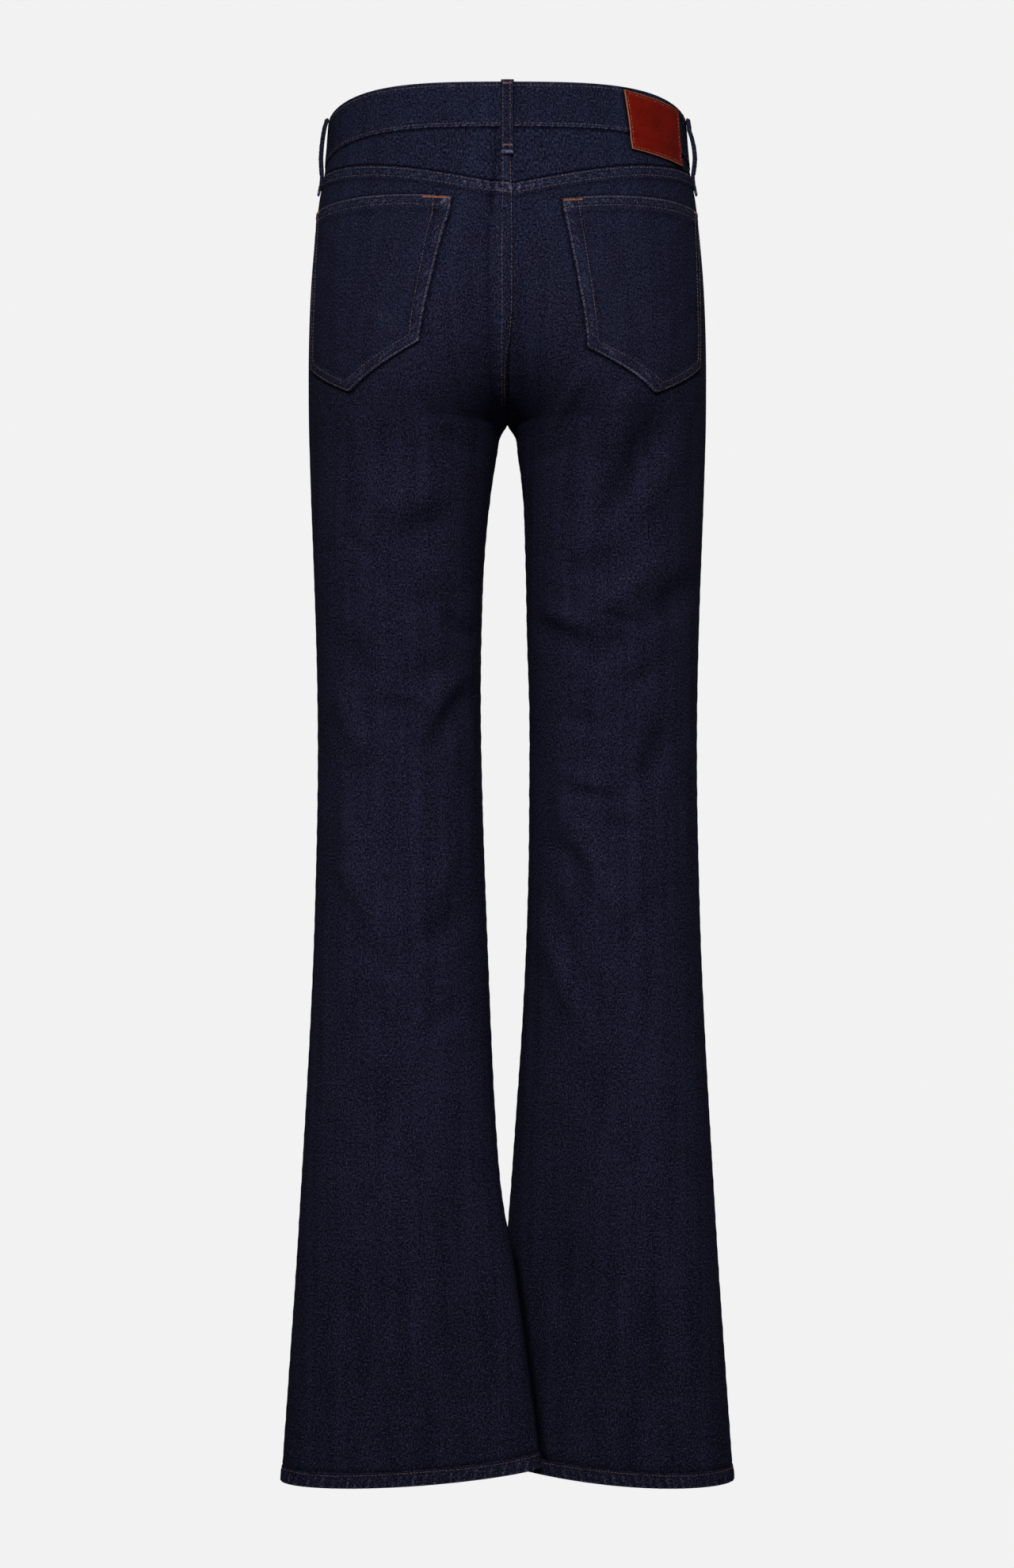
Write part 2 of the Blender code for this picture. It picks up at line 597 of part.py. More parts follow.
def back_pocket(name, sizes, collection):
    """A five-sided patch pocket, straight at its sides and pointed below."""
    half = sizes["half"]
    tip_column = round(POCKET_COLUMNS * (sizes["tip"][0] - sizes["bottom_inner"][0])
                       / (sizes["bottom_outer"][0] - sizes["bottom_inner"][0]))
    tip_at = tip_column / POCKET_COLUMNS

    def place(pattern, layer):
        across, down = pattern[:, 0], pattern[:, 1]
        ends = np.array([0.0, 1.0])
        points_below = np.array([0.0, tip_at, 1.0])
        corners = (sizes["bottom_inner"], sizes["tip"], sizes["bottom_outer"])
        top_reach = np.interp(across, ends, (sizes["top_inner"][0], sizes["top_outer"][0]))
        top_height = np.interp(across, ends, (sizes["top_inner"][1], sizes["top_outer"][1]))
        top_height = top_height + sizes["top_rise"] * 4 * across * (1 - across)
        low_reach = np.interp(across, points_below, [corner[0] for corner in corners])
        low_height = np.interp(across, points_below, [corner[1] for corner in corners])
        reach = top_reach + (low_reach - top_reach) * down
        height = top_height + (low_height - top_height) * down
        turn = turn_at(half, BACK, reach, height)
        return laid(half, turn, height, LAID_GAP, POCKET_DENIM, layer)

    grid = pattern_grid(POCKET_COLUMNS, POCKET_ROWS)
    return wall(name, grid, place, DENIM_FINISH, collection)


def patch(name, collection):
    """The leather patch on the right of the back, sewn over the waistband and the yoke."""
    corners = PATCH_CORNERS

    def place(pattern, layer):
        across, down = pattern[:, 0], pattern[:, 1]
        place_of = {}
        for axis, key in enumerate(("reach", "height")):
            top = corners["top_inner"][axis] * (1 - across) + corners["top_outer"][axis] * across
            low = (corners["bottom_inner"][axis] * (1 - across)
                   + corners["bottom_outer"][axis] * across)
            place_of[key] = top + (low - top) * down
        turn = turn_at(RIGHT, BACK, place_of["reach"], place_of["height"])
        return laid(RIGHT, turn, place_of["height"], LAID_GAP, PATCH_THICKNESS, layer)

    grid = pattern_grid(PATCH_COLUMNS, PATCH_ROWS)
    return wall(name, grid, place, LEATHER_FINISH, collection)


def belt_loop(sizes, collection):
    """A folded strip, sewn down at both ends and standing off the waistband between them."""
    half = sizes["half"]

    def place(pattern, layer):
        aside, down = (pattern[:, 0] - 0.5) * LOOP_WIDTH, pattern[:, 1]
        height = waist_top(sizes["turn"]) + sizes["top"] - sizes["length"] * down
        middle = np.full(height.shape, sizes["turn"])
        if sizes["turn"] == 90.0:
            middle = centre_turn(height)
        turn = middle + aside / turn_speed(half, middle, height)
        free = np.sin(np.pi * np.clip(down / LOOP_SEWN_FROM, 0.0, 1.0)) ** LOOP_BOW
        on_band = WAISTBAND_PROUD * ease(-down, -LOOP_SEWN_FROM, -LOOP_ON_BAND_TO)
        depth = LAID_GAP + on_band + sizes["bulge"] * free
        if layer == "outer":
            pressed = ease(down, LOOP_PRESSED_FROM, LOOP_PRESSED_TO)
            depth = depth + LOOP_THICKNESS + (LOOP_SEWN_THICKNESS - LOOP_THICKNESS) * pressed
        return surface(half, turn, height) + outward(half, turn, height) * depth[:, None]

    return wall(sizes["name"], pattern_grid(LOOP_COLUMNS, LOOP_ROWS), place, DENIM_FINISH,
                collection)


def hem(name, half, collection):
    """The turned-up hem, a closed band below both panels of a leg."""
    shape = bmesh.new()
    bmesh.ops.create_cone(shape, cap_ends=False, segments=HEM_SEGMENTS, radius1=1.0, radius2=1.0,
                          depth=1.0)

    def place(pattern, layer):
        turn = np.degrees(np.arctan2(pattern[:, 1], pattern[:, 0]))
        height = hem_line(half, turn) + HEM_HEIGHT * (pattern[:, 2] + 0.5)
        depth = HEM_PROUD - (HEM_THICKNESS if layer == "inner" else 0.0)
        return surface(half, turn, height) + outward(half, turn, height) * depth

    return wall(name, shape, place, DENIM_FINISH, collection)


def button(name, collection):
    """The metal waist button, on the lapped end of the waistband at the centre front."""
    turn = np.array([-90.0])
    height = waist_top(turn) - WAISTBAND_WIDTH / 2
    facing_out = Vector(outward(LEFT, turn, height)[0])
    proud = WAISTBAND_PROUD + WAISTBAND_THICKNESS + 2 * LAID_GAP
    middle = Vector(surface(LEFT, turn, height)[0]) + facing_out * (proud + BUTTON_THICKNESS / 2)
    shape = bmesh.new()
    bmesh.ops.create_cone(shape, cap_ends=True, segments=BUTTON_SEGMENTS, radius1=BUTTON_RADIUS,
                          radius2=BUTTON_RADIUS, depth=BUTTON_THICKNESS)
    rims = [edge for edge in shape.edges if abs(edge.verts[0].co.z - edge.verts[1].co.z) < 1e-6]
    bmesh.ops.bevel(shape, geom=rims, offset=BUTTON_EDGE, offset_type="OFFSET", segments=2,
                    profile=0.5, affect="EDGES", material=-1)
    upright = Vector((0.0, 0.0, 1.0)).rotation_difference(facing_out)
    bmesh.ops.rotate(shape, cent=(0.0, 0.0, 0.0), matrix=upright.to_matrix(), verts=shape.verts)
    bmesh.ops.translate(shape, vec=middle, verts=shape.verts)
    return finish_piece(name, shape, BRASS_FINISH, collection)


# ---- The garment -------------------------------------------------------------------------

def main():
    for old in list(bpy.data.objects):
        bpy.data.objects.remove(old, do_unlink=True)
    jeans = bpy.data.collections.new("bootcut_jeans")
    bpy.context.scene.collection.children.link(jeans)

    waistband("waistband", jeans)
    for half, word in ((LEFT, "left"), (RIGHT, "right")):
        yoke(f"yoke_{word}", half, jeans)
        panel(f"back_panel_{word}", half, BACK, BACK_LEG_ROWS, back_top, SEAT_LAP, jeans)
        panel(f"front_panel_{word}", half, FRONT, FRONT_LEG_ROWS, front_top, FLY_LAP, jeans)
        facing(f"front_pocket_facing_{word}", half, jeans)
        hem(f"hem_{word}", half, jeans)
    for name, sizes in POCKETS.items():
        back_pocket(name, sizes, jeans)
    patch("leather_patch", jeans)
    for row in LOOPS:
        belt_loop(dict(zip(LOOP_FIELDS, row)), jeans)
    button("waist_button", jeans)


main()
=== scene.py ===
import math

import bmesh
import bpy
import numpy as np
from mathutils import Matrix, Vector
from mathutils.bvhtree import BVHTree


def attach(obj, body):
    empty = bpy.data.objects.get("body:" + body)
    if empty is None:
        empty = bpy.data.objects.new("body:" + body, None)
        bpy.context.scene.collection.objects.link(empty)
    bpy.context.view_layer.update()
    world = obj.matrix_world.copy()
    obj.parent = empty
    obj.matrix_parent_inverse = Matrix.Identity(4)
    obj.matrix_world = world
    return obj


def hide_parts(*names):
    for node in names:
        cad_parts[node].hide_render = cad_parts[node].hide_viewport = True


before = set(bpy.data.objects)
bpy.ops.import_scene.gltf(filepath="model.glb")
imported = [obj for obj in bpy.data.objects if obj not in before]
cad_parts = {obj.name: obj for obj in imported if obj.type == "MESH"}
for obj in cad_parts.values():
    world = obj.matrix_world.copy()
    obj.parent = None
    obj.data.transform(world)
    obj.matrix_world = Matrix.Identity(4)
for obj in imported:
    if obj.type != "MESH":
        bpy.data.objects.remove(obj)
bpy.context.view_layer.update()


# ---- Leg panels --------------------------------------------------------------------------
# Two backs and two fronts, cut from dark indigo stretch denim with the grain down the leg.
# They are joined at the seat seam, the fly, the inseams and the outseams, whose edges turn in.

LEFT, RIGHT = 1, -1
BACK, FRONT = 1, -1

# Heights and widths of the filled-out garment, in millimetres: half width at the side, the gap
# from the centre plane to each leg's inner edge, depth before and behind, and how far along its
# shift a leg's inner edge has gone
SECTION_COLUMNS = ("height", "side", "gap_left", "gap_right", "front", "back", "tip")
SECTIONS = (
    (45.0, 142.5, 0.0, 0.0, 94.0, 91.0, 0.0),
    (17.0, 143.6, 0.0, 0.0, 95.0, 94.0, 0.0),
    (-20.0, 146.4, 0.0, 0.0, 97.0, 101.0, 0.0),
    (-49.0, 151.8, 0.0, 0.0, 100.0, 109.0, 0.0),
    (-77.0, 155.0, 0.0, 0.0, 104.0, 117.0, 0.0),
    (-109.0, 157.8, 0.0, 0.0, 107.0, 124.0, 0.0),
    (-141.0, 159.5, 0.0, 0.0, 108.0, 127.0, 0.0),
    (-173.0, 160.3, 0.0, 0.0, 106.0, 125.0, 0.0),
    (-205.0, 160.4, 0.0, 0.0, 101.0, 117.0, 0.0),
    (-230.0, 160.2, 0.0, 0.0, 95.0, 106.0, 0.0),
    (-236.0, 160.1, 4.4, 4.8, 93.8, 103.8, 0.0),
    (-254.0, 159.6, 8.4, 8.4, 91.5, 97.0, 0.0),
    (-286.0, 158.6, 13.4, 12.4, 89.0, 90.0, 0.0),
    (-334.0, 156.8, 18.2, 14.4, 85.0, 83.0, 0.0),
    (-398.0, 154.6, 20.8, 15.7, 79.0, 76.0, 0.0),
    (-461.0, 153.3, 21.4, 17.6, 71.0, 68.0, 0.0),
    (-525.0, 153.3, 20.2, 17.6, 66.0, 64.0, 0.05),
    (-589.0, 154.6, 18.2, 17.0, 65.0, 66.0, 0.12),
    (-653.0, 156.5, 15.7, 15.0, 66.0, 68.0, 0.20),
    (-717.0, 159.4, 13.1, 11.8, 66.0, 68.0, 0.30),
    (-781.0, 162.9, 9.9, 7.4, 65.0, 67.0, 0.42),
    (-845.0, 166.7, 4.8, 2.9, 64.0, 65.0, 0.58),
    (-909.0, 170.6, -6.1, -2.0, 62.0, 63.0, 0.78),
    (-973.0, 175.0, -15.0, -5.0, 60.0, 61.0, 0.90),
    (-1037.0, 179.5, -23.4, -8.0, 58.0, 59.0, 0.97),
    (-1090.0, 183.3, -30.0, -10.0, 57.0, 57.0, 1.00),
)

# Folds: soft ridges (height above 0) and troughs (below 0) along a line on a face
FOLD_COLUMNS = ("face", "from_x", "from_z", "to_x", "to_z", "width", "height")
FOLDS = (
    (BACK, 101.0, -295.0, 58.0, -284.0, 16.0, 3.0),
    (BACK, 92.0, -322.0, 46.0, -300.0, 11.0, -4.5),
    (BACK, 90.0, -372.0, 36.0, -364.0, 11.0, -2.5),
    (BACK, 132.0, -395.0, 113.0, -428.0, 10.0, -3.5),
    (BACK, 90.0, -431.0, 30.0, -420.0, 10.0, -2.5),
    (BACK, 134.0, -436.0, 112.0, -492.0, 11.0, 4.0),
    (BACK, 36.0, -416.0, 70.0, -470.0, 12.0, 3.5),
    (BACK, 28.0, -434.0, 66.0, -494.0, 10.0, -3.8),
    (BACK, 126.0, -534.0, 112.0, -606.0, 11.0, 3.5),
    (BACK, 46.0, -562.0, 58.0, -606.0, 10.0, 3.0),
    (BACK, 38.0, -618.0, 64.0, -638.0, 12.0, -4.0),
    (BACK, 54.0, -790.0, 24.0, -1030.0, 22.0, -3.5),
    (BACK, -94.0, -200.0, -76.0, -258.0, 11.0, 4.5),
    (BACK, -130.0, -206.0, -68.0, -316.0, 11.0, -6.5),
    (BACK, -134.0, -244.0, -98.0, -304.0, 14.0, 3.0),
    (BACK, -46.0, -346.0, -86.0, -334.0, 10.0, -3.5),
    (BACK, -30.0, -378.0, -62.0, -390.0, 10.0, 3.5),
    (BACK, -60.0, -388.0, -122.0, -334.0, 11.0, 4.0),
    (BACK, -152.0, -350.0, -112.0, -384.0, 11.0, -4.5),
    (BACK, -24.0, -386.0, -62.0, -404.0, 10.0, -3.6),
    (BACK, -60.0, -416.0, -98.0, -394.0, 10.0, -4.0),
    (BACK, -132.0, -462.0, -102.0, -520.0, 10.0, -4.5),
    (BACK, -46.0, -504.0, -84.0, -522.0, 10.0, 3.5),
    (BACK, -40.0, -516.0, -98.0, -634.0, 11.0, 4.0),
    (BACK, -30.0, -620.0, -58.0, -708.0, 11.0, 3.5),
    (BACK, -44.0, -784.0, -44.0, -952.0, 15.0, -3.0),
    (BACK, -115.0, -908.0, -115.0, -1020.0, 17.0, -3.5),
    (FRONT, 128.0, -142.0, 40.0, -196.0, 12.0, -4.0),
    (FRONT, 136.0, -176.0, 46.0, -214.0, 11.0, -4.0),
    (FRONT, 132.0, -222.0, 44.0, -246.0, 13.0, -3.5),
    (FRONT, 130.0, -428.0, 44.0, -446.0, 13.0, 3.5),
    (FRONT, 128.0, -462.0, 50.0, -484.0, 12.0, -4.0),
    (FRONT, 60.0, -900.0, 128.0, -960.0, 16.0, -3.5),
    (FRONT, -122.0, -138.0, -38.0, -190.0, 12.0, -4.0),
    (FRONT, -134.0, -184.0, -42.0, -216.0, 11.0, -4.0),
    (FRONT, -130.0, -216.0, -48.0, -252.0, 13.0, -3.5),
    (FRONT, -126.0, -436.0, -40.0, -424.0, 13.0, 3.5),
    (FRONT, -130.0, -474.0, -46.0, -462.0, 12.0, -4.0),
    (FRONT, -128.0, -890.0, -64.0, -950.0, 16.0, -3.5),
)

# Sharper creases on top of the folds, with the same columns
CREASES = (
    (BACK, 17.0, -60.0, 2.0, -76.0, 5.0, -1.5),
    (BACK, 24.0, -66.0, 8.0, -84.0, 6.0, 1.0),
    (BACK, -20.0, -62.0, -5.0, -74.0, 6.0, -0.8),
    (BACK, 54.0, -236.0, 18.0, -256.0, 8.0, -1.2),
    (BACK, -50.0, -246.0, -18.0, -258.0, 8.0, -1.2),
    (BACK, -66.0, -186.0, -26.0, -244.0, 9.0, 2.2),
    (BACK, 104.0, -450.0, 64.0, -456.0, 9.0, -2.2),
    (BACK, 48.0, -380.0, 26.0, -398.0, 9.0, -2.2),
    (BACK, 134.0, -572.0, 104.0, -626.0, 12.0, 2.4),
    (BACK, -78.0, -382.0, -110.0, -388.0, 8.0, -2.2),
    (BACK, -50.0, -520.0, -92.0, -526.0, 8.0, -2.4),
    (BACK, -76.0, -544.0, -104.0, -550.0, 8.0, -2.2),
    (BACK, -34.0, -596.0, -56.0, -676.0, 10.0, -1.8),
    (BACK, 78.0, -331.0, 52.0, -326.0, 7.0, -1.6),
    (BACK, 128.0, -318.0, 104.0, -338.0, 8.0, -1.6),
    (BACK, 88.0, -470.0, 60.0, -462.0, 9.0, -1.8),
    (BACK, 118.0, -640.0, 84.0, -662.0, 12.0, -1.6),
    (BACK, 40.0, -690.0, 66.0, -712.0, 10.0, -1.6),
    (BACK, -122.0, -420.0, -92.0, -440.0, 9.0, -1.8),
    (BACK, -76.0, -470.0, -48.0, -462.0, 9.0, -1.6),
    (BACK, -124.0, -600.0, -96.0, -628.0, 11.0, -1.6),
    (BACK, -36.0, -560.0, -62.0, -584.0, 10.0, -1.6),
    (FRONT, 110.0, -96.0, 30.0, -150.0, 9.0, -2.2),
    (FRONT, -108.0, -94.0, -32.0, -148.0, 9.0, -2.0),
    (FRONT, 96.0, -250.0, 30.0, -276.0, 9.0, -2.0),
    (FRONT, -98.0, -252.0, -30.0, -280.0, 9.0, -2.0),
)

# How much of a row's height and width is used, and how far below its row each one lies
FOLD_DEPTH, FRONT_FOLD_DEPTH, CREASE_DEPTH, CREASE_WIDTH = 1.3, 0.75, 1.9, 0.72
FOLD_DROP, FOLD_TURNS_AWAY = 5.0, 0.45

RISE_TOP, CROTCH, RISE_POWER = -20.0, -230.0, 2.4
CREASE_AT_SEAT, CREASE_FULL_BY, CREASE_FADES_BY = 10.0, -110.0, -310.0
SEAM_TURN, INSEAM_TURNED_BY = 3.0, -290.0
TIP_SHIFT, TIP_TAPER = 31.0, 0.35
SEAM_GAP, SEAM_CATCH = 0.3, 0.15
DENIM_THICKNESS, TURNED_EDGE, TURNED_DEPTH = 1.4, 1.5, 1.1
TURN_STEP, HEIGHT_STEP = 0.5, 1.0

TABLE = {name: np.array(values) for name, values in zip(SECTION_COLUMNS, zip(*SECTIONS))}


def read(column, height):
    """A column of SECTIONS at any height, on a smooth curve through its rows."""
    heights, values = TABLE["height"][::-1], TABLE[column][::-1]
    slopes = np.gradient(values, heights)
    height = np.clip(height, heights[0], heights[-1])
    row = np.clip(np.searchsorted(heights, height) - 1, 0, len(heights) - 2)
    span = heights[row + 1] - heights[row]
    along = (height - heights[row]) / span
    start = (1 + 2 * along) * (1 - along) ** 2 * values[row]
    end = along ** 2 * (3 - 2 * along) * values[row + 1]
    return start + end + along * (1 - along) * span * (
        (1 - along) * slopes[row] - along * slopes[row + 1])


def ease(value, low, high):
    """0 below low, 1 above high, and a smooth step between them."""
    along = np.clip((np.asarray(value, dtype=float) - low) / (high - low), 0.0, 1.0)
    return along * along * (3 - 2 * along)


def fade(value, full_to, gone_by):
    """1 up to one value, 0 past another, and a smooth step between them."""
    return ease(-value, -gone_by, -full_to)


def hump(value, middle, width):
    """A bell: 1 at the middle value, and next to nothing two widths away."""
    return np.exp(-((value - middle) / width) ** 2)


def rise_ratio(height):
    """0 at the waist, where a half is half an oval, and 1 at the crotch, where it is a leg."""
    fall = (RISE_TOP - np.asarray(height, dtype=float)) / (RISE_TOP - CROTCH)
    return np.clip(fall, 0.0, 1.0) ** RISE_POWER


def centre_turn(height):
    """The turn at which a half meets the centre plane, 0 at the crotch and below it."""
    return np.degrees(np.arccos(rise_ratio(height)))


def outline(half, turn, height):
    """How far out and how deep the unfolded cloth is. Turn 0 is the inseam, 90 the middle of
    the back, 180 the outseam and -90 the middle of the front."""
    turn = (np.asarray(turn, dtype=float) + 180.0) % 360.0 - 180.0
    height = np.asarray(height, dtype=float)
    centre = centre_turn(height)
    beyond = np.abs(turn) < centre
    turn = np.where(beyond, np.where(turn < 0, -1.0, 1.0) * (2 * centre - np.abs(turn)), turn)
    angle = np.radians(turn)
    side = read("side", height)
    gap = read("gap_left" if half == LEFT else "gap_right", height)
    crease = CREASE_AT_SEAT * fade(height, CREASE_FULL_BY, RISE_TOP)
    crease = crease * ease(height, CREASE_FADES_BY, CROTCH)
    ratio = rise_ratio(height)
    outer = np.sqrt(side ** 2 + crease ** 2)
    inner = np.where(gap > 0, np.sqrt(gap ** 2 + crease ** 2), np.where(gap < 0, gap, crease))
    below = height < CROTCH
    radius = np.where(below, (outer - inner) / 2, (outer - crease) / (1 + ratio))
    middle = np.where(below, (outer + inner) / 2, crease + ratio * radius)
    reach = middle - radius * np.cos(angle)
    across = np.where(crease > 0, np.sqrt(np.maximum(reach ** 2 - crease ** 2, 0.0)), reach)
    tip = read("tip", height)
    near_tip = (1 + np.cos(angle)) / 2
    depth = np.where(np.sin(angle) >= 0, read("back", height), read("front", height))
    depth = depth * np.sin(angle) * (1 - TIP_TAPER * tip * near_tip)
    return np.where(beyond, -across, across), depth + half * TIP_SHIFT * tip * near_tip ** 2


def fold_height(half, turn, across, height):
    """How far the folds lift the cloth at a point."""
    turn = (np.asarray(turn, dtype=float) + 180.0) % 360.0 - 180.0
    facing = np.sin(np.radians(turn))
    x = half * across
    height = height + FOLD_DROP
    total = np.zeros_like(x)
    for row in FOLDS + CREASES:
        fold = dict(zip(FOLD_COLUMNS, row))
        depth, width = FOLD_DEPTH, fold["width"]
        if fold["face"] == FRONT:
            depth = FRONT_FOLD_DEPTH
        elif row in CREASES:
            depth, width = CREASE_DEPTH, CREASE_WIDTH * fold["width"]
        run_x = fold["to_x"] - fold["from_x"]
        run_z = fold["to_z"] - fold["from_z"]
        length = math.hypot(run_x, run_z)
        along = ((x - fold["from_x"]) * run_x + (height - fold["from_z"]) * run_z) / length
        aside = ((x - fold["from_x"]) * run_z - (height - fold["from_z"]) * run_x) / length
        ends = ease(along, -fold["width"], length / 3)
        ends = ends * ease(length - along, -fold["width"], length / 3)
        total += depth * fold["height"] * hump(aside, 0.0, width) * ends * (
            ease(fold["face"] * facing, 0.0, FOLD_TURNS_AWAY))
    return total


def surface(half, turn, height):
    """Points of the cloth's outer face."""
    across, depth = outline(half, turn, height)
    before = outline(half, np.asarray(turn) - TURN_STEP, height)
    after = outline(half, np.asarray(turn) + TURN_STEP, height)
    run_across, run_depth = after[0] - before[0], after[1] - before[1]
    speed = np.maximum(np.hypot(run_across, run_depth), 1e-6)
    fold = fold_height(half, turn, across, height)
    across = across - fold * run_depth / speed
    depth = depth + fold * run_across / speed
    return np.stack([half * across, depth, np.broadcast_to(height, across.shape)], axis=-1)


def outward(half, turn, height):
    """Unit normals of the cloth, pointing out of the garment."""
    run = surface(half, turn + TURN_STEP, height) - surface(half, turn - TURN_STEP, height)
    fall = surface(half, turn, height - HEIGHT_STEP) - surface(half, turn, height + HEIGHT_STEP)
    normal = half * np.cross(run, fall)
    return normal / np.maximum(np.linalg.norm(normal, axis=-1, keepdims=True), 1e-9)


def cloth_at(half, turn, height):
    """The cloth's points and its normals there."""
    return surface(half, turn, height), outward(half, turn, height)


def moved_out(ground, normals, distance):
    """Points that stand off the cloth by a distance."""
    return ground + normals * distance[..., None]


def turn_speed(half, turn, height):
    """Millimetres along the cloth for each degree of turn."""
    run = surface(half, turn + TURN_STEP, height) - surface(half, turn - TURN_STEP, height)
    return np.maximum(np.linalg.norm(run, axis=-1), 1e-3)


def inner_turn(face, height):
    """The turn of a panel's inner edge: the centre seam, and below the crotch the inseam."""
    height = np.asarray(height, dtype=float)
    inseam = -SEAM_TURN * fade(height, INSEAM_TURNED_BY, CROTCH)
    return np.where(height >= CROTCH, face * centre_turn(height), inseam)


def edge_turn(half, face, height):
    """The turn of a panel's outer edge, just past the outseam, where the next panel meets it."""
    seam = np.full(np.shape(height), 180.0 + SEAM_TURN)
    past = SEAM_CATCH / turn_speed(half, seam, height)
    return np.where(face == BACK, seam + past, seam - 360.0 - past)


def turn_across(half, face, height, share):
    """The turn at a share of the way across a panel, from its inner to its outer edge."""
    start = inner_turn(face, height)
    return start + (edge_turn(half, face, height) - start) * share


def turned_in(distance, radius=TURNED_EDGE, depth=TURNED_DEPTH):
    """How far an edge sinks where the cloth turns in at a seam, by distance from the seam."""
    short = np.clip(1 - distance / radius, 0.0, 1.0)
    return depth * (1 - np.sqrt(1 - short ** 2))


def ripple(along, pitch, seed):
    """An uneven wave, from -1 to 1, with crests about a pitch apart."""
    slow = 1.3 * np.sin(along / (pitch * 2.7) + seed)
    slow = slow + 0.9 * np.sin(along / (pitch * 6.1) + 2 * seed)
    return 0.7 * np.sin(2 * np.pi * along / pitch + slow + seed) + 0.3 * np.sin(
        2 * np.pi * along / (pitch * 1.63) + 2.3 * seed + slow)


def graded(count, crowding):
    """Places from 0 to 1, crowded towards both ends."""
    even = np.linspace(0.0, 1.0, count + 1)
    return even - crowding * np.sin(2 * np.pi * even) / (2 * np.pi)


def distance_along(points):
    """How far each point of a line, or of each line in a stack, is from the line's start."""
    steps = np.linalg.norm(np.diff(points, axis=-2), axis=-1)
    return np.concatenate([0 * steps[..., :1], np.cumsum(steps, axis=-1)], axis=-1)


def cloth(name, columns, rows, place, closed=False, folded=False):
    """A closed thin shell from a pattern of squares. place() takes the pattern's places across
    and down, and gives the outer points, the inner points and the fading and painted shade of
    the outer face. A folded piece shows its right side within too, and so does any turned edge."""
    pattern = bmesh.new()
    bmesh.ops.create_grid(pattern, x_segments=len(columns) - 1, y_segments=len(rows) - 1, size=0.5)
    bmesh.ops.translate(pattern, vec=(0.5, 0.5, 0.0), verts=pattern.verts)
    lifted = bmesh.ops.extrude_face_region(pattern, geom=pattern.faces[:])["geom"]
    upper = [part for part in lifted if isinstance(part, bmesh.types.BMVert)]
    bmesh.ops.translate(pattern, vec=(0.0, 0.0, 1.0), verts=upper)
    bmesh.ops.recalc_face_normals(pattern, faces=pattern.faces)
    if closed:
        ends = [face for face in pattern.faces if abs(face.normal.x) > 0.5]
        bmesh.ops.delete(pattern, geom=ends, context="FACES")
    mesh = bpy.data.meshes.new(name)
    pattern.to_mesh(mesh)
    flat = np.empty(len(mesh.vertices) * 3, np.float32)
    mesh.vertices.foreach_get("co", flat)
    flat = flat.reshape(-1, 3)
    column = np.rint(flat[:, 0] * (len(columns) - 1)).astype(int)
    row = np.rint(flat[:, 1] * (len(rows) - 1)).astype(int)
    outside = flat[:, 2] > 0.5
    turned = folded | outside | (row == 0) | (row == len(rows) - 1)
    turned = turned | (not closed) & ((column == 0) | (column == len(columns) - 1))
    outer, inner, wear_and_painted_shade = place(*np.meshgrid(columns, rows))
    points = np.where(outside[:, None], outer[row, column], inner[row, column]) / 1000
    middle = len(columns) // 2
    grain = distance_along(outer)
    grain = grain - grain[:, [middle]]
    fall = distance_along(outer[:, middle])[:, None] + 0 * grain
    mesh.vertices.foreach_set("co", points.astype(np.float32).ravel())
    pattern.clear()
    pattern.from_mesh(mesh)
    turned_over = pattern.calc_volume(signed=True) < 0
    if turned_over:
        bmesh.ops.reverse_faces(pattern, faces=pattern.faces)
        pattern.to_mesh(mesh)
    weave = np.stack([grain * (1 if turned_over else -1), fall, 0 * fall], axis=-1)[row, column]
    for label, kind, field, values in (
            ("weave", "FLOAT_VECTOR", "vector", weave),
            ("wear_and_painted_shade", "FLOAT", "value", np.where(outside, wear_and_painted_shade[row, column], 0.0)),
            ("wrong_side", "FLOAT", "value", 1.0 - turned)):
        made = mesh.attributes.new(label, kind, "POINT")
        made.data.foreach_set(field, values.astype(np.float32).ravel())
    if closed:
        pattern.clear()
        pattern.from_mesh(mesh)
        bmesh.ops.remove_doubles(pattern, verts=pattern.verts, dist=1e-6)
        pattern.to_mesh(mesh)
    pattern.free()
    return mesh


def dress(name, mesh, finish, slot, *nodes):
    """Put a finished mesh on the garment, in place of the nodes it stands for."""
    piece = bpy.data.objects.new(name, mesh)
    bpy.context.scene.collection.objects.link(piece)
    mesh.materials.append(finish)
    mesh.shade_smooth()
    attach(piece, "root")
    if nodes:
        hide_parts(*nodes)
    return piece


